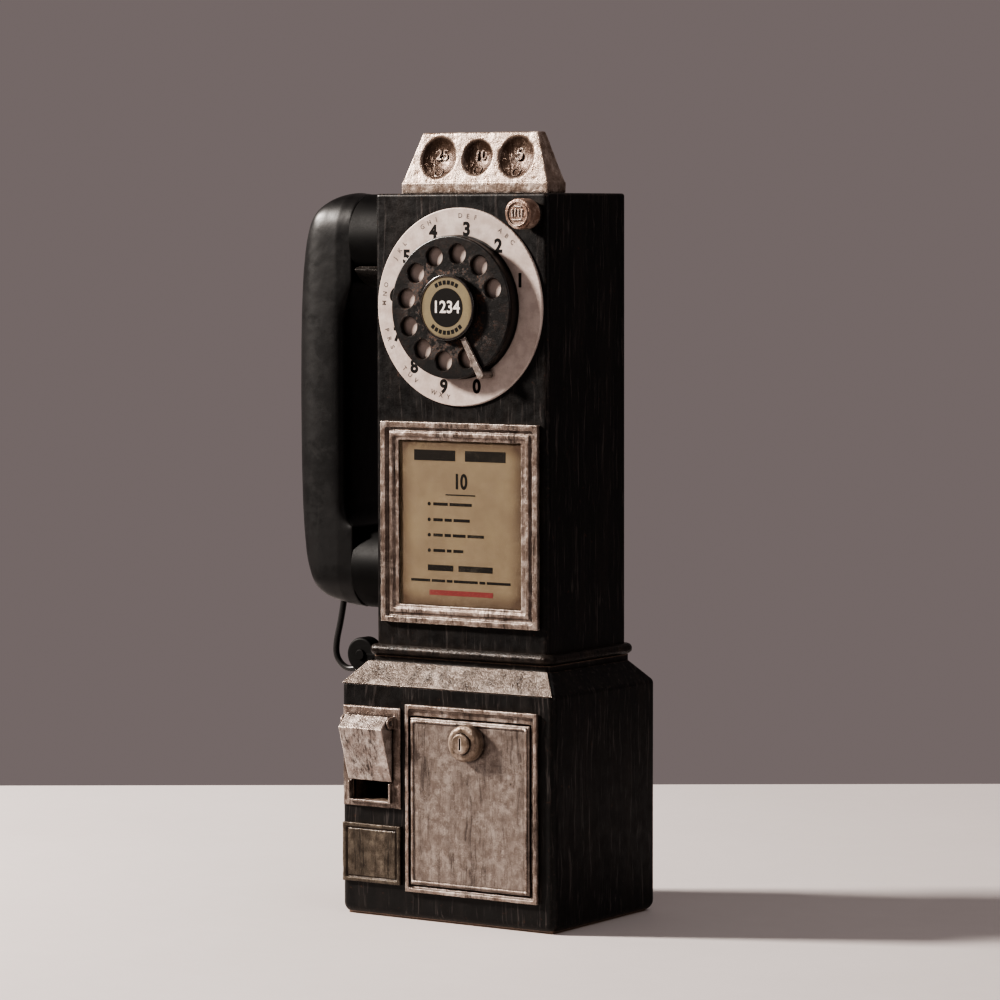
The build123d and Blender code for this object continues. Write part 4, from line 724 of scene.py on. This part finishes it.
# ---- hub -----------------------------------------------------------------------------
# A turned black ring holds a round card. The card has an olive band round a black disc, with
# plain marks in the band and a row of counting figures in the middle.
hub_low, hub_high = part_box("hub_card")
hub_face_y = hub_low.y
disc_radius = 0.0113
disc_rise = 0.00012
hub_bar_radius = 0.0146

hub_gloss, tree, shader = surface("hub_gloss", Coat_Weight=0.4, Coat_Roughness=0.15)
wear = placed(tree, worn, {"Reach": 0.0007, "Hollow": 0.003, "Ragged": 500.0})
uneven = placed(tree, lumps, {"Lump": 300.0, "Grain": 1800.0})["Height"]
base = mixed(tree, uneven, (0.004, 0.0036, 0.0034, 1), (0.014, 0.011, 0.01, 1))
base = mixed(tree, sums(tree, "MULTIPLY", wear["Edge"], 0.5), base, (0.17, 0.13, 0.1, 1))
feed(
    tree, shader,
    Base_Color=base,
    Roughness=ranged(tree, uneven, 0.3, 0.7, 0.22, 0.36),
    Normal=bumped(tree, uneven, 0.2, 0.0004),
)
paint(hub_gloss, "hub_ring")


def aged_card(name, clean, stained, edge, stain_size, middle, half_width, half_height, margin):
    """Printed card that has yellowed, with fibres and brown stains, darkened at its edges by stain mixed
    with painted shade from the rim that holds it.
    """
    material, tree, shader = surface(name, Specular_IOR_Level=0.4)
    stain = placed(tree, specks, {"Size": stain_size, "Cover": 0.44})["Speck"]
    where = put(tree, "ShaderNodeTexCoord").outputs["Object"]
    off_middle = put(tree, "ShaderNodeVectorMath", {0: where, 1: -middle}, operation="ADD").outputs[0]
    off_middle = put(tree, "ShaderNodeVectorMath", {0: off_middle}, operation="ABSOLUTE").outputs[0]
    off_middle = put(tree, "ShaderNodeSeparateXYZ", {0: off_middle}).outputs
    # the edge colour darkens a band round the card: painted shade from the rim that holds it, mixed with
    # stain
    side = ranged(tree, off_middle["X"], half_width - margin, half_width + margin * 0.3)
    end = ranged(tree, off_middle["Z"], half_height - margin, half_height + margin * 0.3)
    shade_and_stain_border = sums(tree, "ADD", side, end)
    shade_and_stain_border = sums(tree, "MULTIPLY", shade_and_stain_border, sums(tree, "MULTIPLY_ADD", stain, 0.4, 0.75))
    uneven = placed(tree, lumps, {"Lump": 60.0, "Grain": 2600.0, "Grain share": 0.35})["Height"]
    base = mixed(tree, ranged(tree, uneven, 0.35, 0.65), clean, stained)
    base = mixed(tree, sums(tree, "MULTIPLY", stain, 0.25), base, stained)
    base = mixed(tree, shade_and_stain_border, base, edge)
    feed(
        tree, shader,
        Base_Color=base,
        Roughness=ranged(tree, uneven, 0.3, 0.7, 0.4, 0.6),
        Normal=bumped(tree, uneven, 0.1, 0.0002),
    )
    return material


hub_middle = (hub_low + hub_high) / 2
hub_olive = aged_card(
    "hub_olive", (0.2, 0.165, 0.095, 1), (0.15, 0.12, 0.07, 1), (0.08, 0.062, 0.038, 1), 90.0,
    hub_middle, 0.0178, 0.0178, 0.0035,
)
paint(hub_olive, "hub_card")

hub_disc = bmesh.new()
bmesh.ops.create_cone(
    hub_disc, cap_ends=True, segments=72, radius1=disc_radius, radius2=disc_radius, depth=disc_rise,
    matrix=on_dial(0.0, 0.0, hub_face_y - disc_rise / 2),
)
hub_disc = finished("hub_disc", hub_disc, print_black)
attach(hub_disc, "dial")
print_white = ink("print_white", (0.5, 0.47, 0.43, 1), (0.78, 0.74, 0.7, 1), 500.0, 0.1, Roughness=0.5)
spot = on_dial(0.0, 0.0, hub_face_y - disc_rise - 0.00004) @ Matrix.Scale(0.98, 4, (1, 0, 0))
set_figures(
    "hub_figures", [("1234", 0.0071, 0.00022, spot)],
    print_white, "dial", rise=0.00004,
)


def add_bar(bm, place, width, height, rise):
    """Adds a thin flat bar, centred on a place and lying in its XY plane."""
    size = Matrix.Diagonal((width, height, rise, 1.0))
    bmesh.ops.create_cube(bm, size=1.0, matrix=place @ size)


hub_bars = bmesh.new()
for middle, count in ((pi / 2, 6), (-pi / 2, 8)):
    for step in range(count):
        angle = middle + radians(11.5) * (step - (count - 1) / 2)
        spot = on_dial(hub_bar_radius, angle, hub_face_y, angle - pi / 2)
        add_bar(hub_bars, spot, 0.0021, 0.0024, 0.00012)
hub_bars = finished("hub_bars", hub_bars, print_black)
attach(hub_bars, "dial")

# ---- finger stop ---------------------------------------------------------------------
# A bright steel finger, riveted through the number plate, that bends over the wheel.
stop_steel = metal_paint(
    "stop_steel", (0.4, 0.35, 0.32, 1), (0.24, 0.2, 0.175, 1), (0.04, 0.026, 0.02, 1), 0.35, 0.5, shine=0.7
)
paint(stop_steel, "finger_stop")

# ---- push button ---------------------------------------------------------------------
# A cast cap on a sprung stem. Its face has a raised rim and a few worn raised marks.
button_low, button_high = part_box("push_button")
button_middle = (button_low + button_high) / 2
button_middle.y = button_low.y
button_silver = metal_paint(
    "button_silver", (0.5, 0.39, 0.33, 1), (0.2, 0.12, 0.085, 1), (0.03, 0.016, 0.01, 1),
    0.5, 0.48, patches=0.6, reach=0.0004,
)
hand_cast(
    "button_cap", "push_button", "button", button_silver, cell=0.00032, uneven=0.0003
)
button_marks = bmesh.new()
button_place = Matrix.Translation(button_middle + Vector((0.0, 0.00005, 0.0))) @ outward_turn
add_ring(button_marks, button_place, 0.0069, 0.00045)
for x, z, width, height, turn in (
    (-0.0034, 0.0004, 0.0009, 0.0044, 4), (-0.0013, 0.0006, 0.0009, 0.0046, -3),
    (0.0010, 0.0003, 0.0009, 0.0044, 5), (0.0033, 0.0005, 0.0009, 0.0042, -4),
    (-0.0001, -0.0034, 0.0062, 0.0008, 2), (0.0002, 0.0042, 0.0052, 0.0008, -3),
):
    spot = button_place @ Matrix.Translation((x, z, 0.0)) @ Matrix.Rotation(radians(turn), 4, "Z")
    add_bar(button_marks, spot, width, height, 0.0009)
bmesh.ops.bevel(
    button_marks, geom=[edge for edge in button_marks.edges if edge.calc_face_angle(0.0) > 1.0],
    offset=0.00018, segments=2, affect="EDGES",
)
button_marks = finished("button_marks", button_marks, button_silver, smooth=60.0)
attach(button_marks, "button")

# ---- instruction frame, card and window ----------------------------------------------
# A double-moulded cast frame round a printed card behind a thin pane. The card has yellowed,
# and its print is plain bars and dots.
card_low, card_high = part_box("instruction_card")
card_middle = Vector(((card_low.x + card_high.x) / 2, card_low.y - 0.00004, (card_low.z + card_high.z) / 2))
frame_silver = metal_paint(
    "frame_silver", (0.4, 0.335, 0.295, 1), (0.17, 0.125, 0.1, 1), (0.014, 0.007, 0.004, 1),
    0.75, 0.45, patches=0.7, reach=0.0006,
)
hand_cast(
    "instruction_moulding", "instruction_frame", "housing", frame_silver,
    cell=0.00042, uneven=0.00025,
)
card_khaki = aged_card(
    "card_khaki", (0.2, 0.158, 0.1, 1), (0.15, 0.11, 0.065, 1), (0.055, 0.028, 0.013, 1), 22.0,
    card_middle, (card_high.x - card_low.x) / 2, (card_high.z - card_low.z) / 2, 0.011,
)
paint(card_khaki, "instruction_card")
print_red = ink("print_red", (0.1, 0.008, 0.008, 1), (0.2, 0.02, 0.018, 1), 500.0, 0.1, Roughness=0.5)

# lines of the print: height above the card's middle, bar height, and the bars' left and right
card_lines = (
    (0.0400, 0.0062, ((-0.0328, -0.0036), (0.0034, 0.0318))),
    (0.0170, 0.0007, ((-0.0105, 0.0105),)),
    (0.0114, 0.0017, ((-0.0192, -0.0090), (-0.0076, 0.0080))),
    (0.0021, 0.0017, ((-0.0192, -0.0126), (-0.0112, -0.0062), (-0.0048, 0.0066))),
    (-0.0069, 0.0017, ((-0.0192, -0.0126), (-0.0112, -0.0068), (-0.0054, 0.0036), (0.0050, 0.0165))),
    (-0.0160, 0.0017, ((-0.0192, -0.0110), (-0.0096, -0.0064), (-0.0050, 0.0020))),
    (-0.0262, 0.0034, ((-0.0232, -0.0052), (-0.0014, 0.0226))),
    (-0.0338, 0.0015, (
        (-0.0352, -0.0216), (-0.0204, -0.0110), (-0.0098, -0.0058), (-0.0046, 0.0122), (0.0134, 0.0174),
        (0.0186, 0.0352),
    )),
)
card_dots = (0.0114, 0.0021, -0.0069, -0.0160)
card_print = bmesh.new()
card_plane = Matrix.Translation(card_middle) @ outward_turn
for height, thick, bars in card_lines:
    for left, right in bars:
        spot = card_plane @ Matrix.Translation(((left + right) / 2, height, 0.0))
        add_bar(card_print, spot, right - left, thick, 0.00008)
for height in card_dots:
    bmesh.ops.create_cone(
        card_print, cap_ends=True, segments=16, radius1=0.0011, radius2=0.0011, depth=0.00008,
        matrix=card_plane @ Matrix.Translation((-0.0222, height, 0.0)),
    )
card_print = finished("card_print", card_print, print_black)
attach(card_print, "housing")
spot = card_plane @ Matrix.Translation((0.0, 0.0245, 0.0)) @ Matrix.Scale(0.8, 4, (1, 0, 0))
set_figures(
    "card_figures", [("10", 0.0088, 0.00035, spot)],
    print_black, "housing", rise=0.00004,
)
red_rule = bmesh.new()
add_bar(red_rule, card_plane @ Matrix.Translation((0.0004, -0.0408, 0.0)), 0.0450, 0.0030, 0.00008)
red_rule = finished("card_rule", red_rule, print_red)
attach(red_rule, "housing")

window_glass, tree, shader = surface("window_glass", Roughness=0.12, Specular_IOR_Level=0.5)
smear = placed(tree, specks, {"Size": 45.0, "Cover": 0.5})["Speck"]
uneven = placed(tree, lumps, {"Lump": 30.0, "Grain": 400.0, "Grain share": 0.1})["Height"]
feed(
    tree, shader,
    Base_Color=mixed(tree, smear, (0.3, 0.24, 0.15, 1), (0.5, 0.42, 0.3, 1)),
    Alpha=ranged(tree, smear, 0.0, 1.0, 0.02, 0.05),
    Normal=bumped(tree, uneven, 0.08, 0.0006),
)
paint(window_glass, "instruction_window")

# ---- coin return ---------------------------------------------------------------------
# A plate with a raised U-shaped lip, and above it a wedge-shaped flap on a pin. The flap's paint
# is paler all over, painted light for its brightly lit top. A blank inspection panel sits below.
return_silver = metal_paint(
    "return_silver", (0.36, 0.3, 0.265, 1), (0.15, 0.11, 0.09, 1), (0.014, 0.008, 0.005, 1),
    0.8, 0.46, patches=0.6, reach=0.0006,
)
hand_cast("return_casting", "coin_return_plate", "housing", return_silver, 0.0004, 0.00022)
# the flap's paint is paler than the plate's: painted light for its brightly lit top
lit_flap_silver = metal_paint(
    "lit_flap_silver", (0.52, 0.46, 0.42, 1), (0.25, 0.2, 0.175, 1), (0.02, 0.012, 0.009, 1),
    0.85, 0.47, patches=0.5
)
hand_cast(
    "return_flap", "coin_return_flap", "coin_flap", lit_flap_silver, 0.0004, 0.0002, passes=2
)
tray_brown, tree, shader = surface("tray_brown", Specular_IOR_Level=0.3)
scuff = placed(tree, specks, {"Size": 120.0, "Cover": 0.5})["Speck"]
uneven = placed(tree, lumps, {"Lump": 160.0, "Grain": 1300.0})["Height"]
feed(
    tree, shader,
    Base_Color=mixed(tree, scuff, (0.11, 0.075, 0.055, 1), (0.2, 0.15, 0.115, 1)),
    Roughness=ranged(tree, uneven, 0.3, 0.7, 0.45, 0.65),
    Normal=bumped(tree, uneven, 0.3, 0.0004),
)
paint(tray_brown, "return_tray")
panel_olive = metal_paint(
    "panel_olive", (0.14, 0.115, 0.088, 1), (0.06, 0.046, 0.034, 1), (0.012, 0.008, 0.005, 1), 0.7, 0.46,
    edge=(0.3, 0.25, 0.21, 1), patches=0.4, reach=0.0004,
)
hand_cast("panel_casting", "inspection_panel", "housing", panel_olive, 0.0004, 0.0002)

# ---- vault ---------------------------------------------------------------------------
# A cast frame with a raised bead, a steel door with a soft raised rim, and a domed lock ring
# with a slotted plug.
frame_bright = metal_paint(
    "vault_bright", (0.42, 0.355, 0.315, 1), (0.17, 0.125, 0.1, 1), (0.014, 0.007, 0.004, 1),
    0.75, 0.45, patches=0.6, reach=0.0006,
)
hand_cast("vault_moulding", "vault_frame", "housing", frame_bright, 0.00042, 0.00025)
door_silver = metal_paint(
    "door_silver", (0.3, 0.255, 0.225, 1), (0.17, 0.135, 0.115, 1), (0.024, 0.015, 0.012, 1),
    0.65, 0.48, patches=0.5
)
hand_cast("door_casting", "vault_door", "vault_door", door_silver, 0.0006, 0.0002)
lock_bronze = metal_paint(
    "lock_bronze", (0.34, 0.27, 0.22, 1), (0.15, 0.11, 0.08, 1), (0.02, 0.011, 0.006, 1),
    0.5, 0.48, patches=0.6
)
hand_cast(
    "lock_casting", "lock_ring", "vault_door", lock_bronze, 0.00032, 0.0002, passes=5
)
paint(lock_bronze, "lock_plug")

# the door's raised rim, a bar round its edge
door_low, door_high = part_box("vault_door")
rim_inset = 0.0022
rim_wire = 0.0008
door_rim = bmesh.new()
rim_y = door_low.y - 0.0001
rim_left, rim_right = door_low.x + rim_inset, door_high.x - rim_inset
rim_foot, rim_head = door_low.z + rim_inset, door_high.z - rim_inset
for start, end in (
    ((rim_left, rim_foot), (rim_right, rim_foot)), ((rim_right, rim_foot), (rim_right, rim_head)),
    ((rim_right, rim_head), (rim_left, rim_head)), ((rim_left, rim_head), (rim_left, rim_foot)),
):
    first, last = Vector((start[0], rim_y, start[1])), Vector((end[0], rim_y, end[1]))
    run = last - first
    across = run.normalized().cross(Vector((0, 1, 0)))
    loops = []
    steps = 90
    for step in range(steps + 1):
        spot = first + run * step / steps
        swell = 1.0 + 0.3 * noise.noise(spot * 260.0)
        loops.append([
            door_rim.verts.new(
                spot + (across * cos(turn) + Vector((0, 1, 0)) * sin(turn) * 0.8) * rim_wire * swell
            )
            for turn in (2 * pi * side / 10 for side in range(10))
        ])
    tube(door_rim, loops)
door_rim = finished("door_rim", door_rim, frame_bright, smooth=60.0)
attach(door_rim, "vault_door")

# ---- handset -------------------------------------------------------------------------
# A moulded handle in hard black plastic, dulled by use, with a screw-on cap at each end.
handset_black, tree, shader = surface("handset_black", Specular_IOR_Level=0.4)
rubbed_patch = placed(tree, specks, {"Size": 30.0, "Cover": 0.47})["Speck"]
dust = placed(tree, specks, {"Size": 700.0, "Cover": 0.69})["Speck"]
streak = placed(tree, strokes, {"Across": 260.0, "Along": 16.0, "Cover": 0.55, "Fade": 0.2})["Stroke"]
wear = placed(tree, worn, {"Reach": 0.0014, "Hollow": 0.004, "Ragged": 300.0})
uneven = placed(tree, lumps, {"Lump": 60.0, "Grain": 1100.0, "Grain share": 0.35})["Height"]
base = mixed(tree, ranged(tree, uneven, 0.35, 0.65), (0.002, 0.0019, 0.0018, 1), (0.005, 0.0047, 0.0045, 1))
base = mixed(tree, sums(tree, "MULTIPLY", rubbed_patch, 0.2), base, (0.008, 0.0073, 0.007, 1))
base = mixed(tree, sums(tree, "MULTIPLY", streak, 0.15), base, (0.035, 0.033, 0.032, 1))
base = mixed(tree, sums(tree, "MULTIPLY", wear["Edge"], 0.3), base, (0.06, 0.05, 0.044, 1))
base = mixed(tree, sums(tree, "MULTIPLY", dust, 0.5), base, (0.16, 0.15, 0.145, 1))
feed(
    tree, shader,
    Base_Color=base,
    Roughness=ranged(tree, rubbed_patch, 0.0, 1.0, 0.4, 0.43),
    Normal=bumped(tree, uneven, 0.12, 0.0005),
)


def outer_side(spot):
    """1 on the handle's outer side and along its grip, 0 where the caps screw on."""
    outer = min(max((-0.0935 - spot.x) / 0.01, 0.0), 1.0)
    grip = min(max((0.068 - abs(spot.z - 0.3)) / 0.012, 0.0), 1.0)
    return max(outer, grip)


handle_low, handle_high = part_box("handset_handle")


def drawn_in(spot):
    """Draws the handle's outer corners in toward its two ends, as the moulding's are."""
    depth = min(handle_high.z - spot.z, spot.z - handle_low.z)
    outward = min(max((-0.0975 - spot.x) / 0.036, 0.0), 1.0)
    return Vector((0.0125 * exp(-max(depth, 0.0) / 0.026) * outward, 0.0, 0.0))


hand_cast(
    "handle_moulding", "handset_handle", "handset", handset_black, 0.0011, 0.00007,
    passes=8, rounding=outer_side, swell=0.0011, shape=drawn_in,
)
# a darker, duller copy of the handle's black: painted shade for the caps, the capsules and the cord outlet
shaded_cap_black, tree, shader = surface("shaded_cap_black", Specular_IOR_Level=0.15)
wear = placed(tree, worn, {"Reach": 0.0008, "Hollow": 0.004, "Ragged": 300.0})
uneven = placed(tree, lumps, {"Lump": 60.0, "Grain": 1100.0, "Grain share": 0.35})["Height"]
base = mixed(
    tree, ranged(tree, uneven, 0.35, 0.65), (0.0015, 0.0014, 0.0013, 1), (0.004, 0.0036, 0.0034, 1)
)
feed(
    tree, shader,
    Base_Color=mixed(tree, sums(tree, "MULTIPLY", wear["Edge"], 0.2), base, (0.03, 0.026, 0.023, 1)),
    Roughness=ranged(tree, uneven, 0.3, 0.7, 0.5, 0.65),
    Normal=bumped(tree, uneven, 0.12, 0.0005),
)
paint(shaded_cap_black, "ear_cap", "mouth_cap", "receiver_capsule", "transmitter_capsule")

# ---- cord outlet, cord bush and hook lever -------------------------------------------
# A round black casting on the shoulder takes the cord's end. The lever is a blackened trough
# that the handset's ear cap lies in.
# the outlet takes the caps' darker black, which is painted shade
paint(shaded_cap_black, "cord_outlet")
paint(cord_black, "handset_bush")
lever_dark = metal_paint(
    "lever_dark", (0.03, 0.026, 0.023, 1), (0.014, 0.012, 0.01, 1), (0.004, 0.003, 0.003, 1), 0.6, 0.48,
    edge=(0.05, 0.044, 0.04, 1), shine=0.4,
)
paint(lever_dark, "hook_lever")

# ---- covers' screws and the works inside ---------------------------------------------
# Plain steel for brackets, pins, box and liner, brass for gears, bells and bearing, brown
# moulded insulation for the coil and the terminals.


def plain_metal(name, dull, bright, rough_low, rough_high, across):
    """Bare drawn metal with fine lines and a little tarnish."""
    material, tree, shader = surface(name, Metallic=1.0)
    lines = placed(tree, strokes, {"Across": across, "Along": 30.0, "Cover": 0.4, "Fade": 0.3})["Stroke"]
    tarnish = placed(tree, specks, {"Size": 130.0, "Cover": 0.5})["Speck"]
    wear = placed(tree, worn, {"Reach": 0.0008, "Hollow": 0.004, "Ragged": 400.0})
    base = mixed(tree, lines, dull, bright)
    base = mixed(tree, sums(tree, "MULTIPLY", tarnish, 0.5), base, dull)
    base = mixed(tree, sums(tree, "MULTIPLY", wear["Edge"], 0.5), base, bright)
    feed(
        tree, shader,
        Base_Color=base,
        Roughness=ranged(tree, tarnish, 0.0, 1.0, rough_low, rough_high),
        Normal=bumped(tree, lines, 0.12, 0.0002),
    )
    return material


works_steel = plain_metal("works_steel", (0.3, 0.29, 0.28, 1), (0.55, 0.54, 0.52, 1), 0.3, 0.5, 800.0)
paint(
    works_steel, "dial_shaft", "dial_case", "return_spring", "pinion_post", "button_nut", "button_clip",
    "button_bush", "flap_pin", "lock_tongue", "vault_liner", "cash_box",
    "hook_bracket", "hook_pin", "ringer_plate", "clapper", "clapper_pin", "coin_chute",
)

# the button's spring, drawn as long as it is with the button pressed, seated on the bush
spring_low, spring_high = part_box("button_spring")
spring_axis = (spring_low + spring_high) / 2
coil_wire = 0.0003
coil_radius = (spring_high.x - spring_low.x) / 2 - 2 * coil_wire
coil_turns = 2.5
coil_pressed = 0.0016
coil_steps = 90
coil = bmesh.new()
loops = []
for step in range(coil_steps + 1):
    turn = 2 * pi * coil_turns * step / coil_steps
    out = Vector((cos(turn), 0.0, sin(turn)))
    forward = spring_high.y - coil_wire - (coil_pressed - 2 * coil_wire) * step / coil_steps
    middle = Vector((spring_axis.x, forward, spring_axis.z)) + out * coil_radius
    loops.append([
        coil.verts.new(middle + (out * cos(lean) + Vector((0.0, 1.0, 0.0)) * sin(lean)) * coil_wire)
        for lean in (2 * pi * side / 10 for side in range(10))
    ])
tube(coil, loops)
coil = finished("button_coil", coil, works_steel, smooth=60.0)
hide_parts("button_spring")
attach(coil, "housing")
works_brass = plain_metal("works_brass", (0.38, 0.24, 0.09, 1), (0.66, 0.48, 0.22, 1), 0.26, 0.45, 700.0)
paint(works_brass, "dial_bearing", "main_gear", "governor_pinion", "gongs")
screw_steel = plain_metal("screw_steel", (0.12, 0.1, 0.085, 1), (0.42, 0.37, 0.32, 1), 0.35, 0.55, 900.0)
paint(screw_steel, "cover_screws")
insulation, tree, shader = surface("insulation", Specular_IOR_Level=0.5)
marbling = placed(tree, specks, {"Size": 160.0, "Cover": 0.45})["Speck"]
uneven = placed(tree, lumps, {"Lump": 200.0, "Grain": 1500.0})["Height"]
feed(
    tree, shader,
    Base_Color=mixed(
        tree, sums(tree, "MULTIPLY", marbling, 0.6), (0.05, 0.018, 0.009, 1), (0.11, 0.045, 0.02, 1)
    ),
    Roughness=ranged(tree, uneven, 0.3, 0.7, 0.25, 0.42),
    Normal=bumped(tree, uneven, 0.12, 0.0003),
)
paint(insulation, "terminal_block", "ringer_coil")
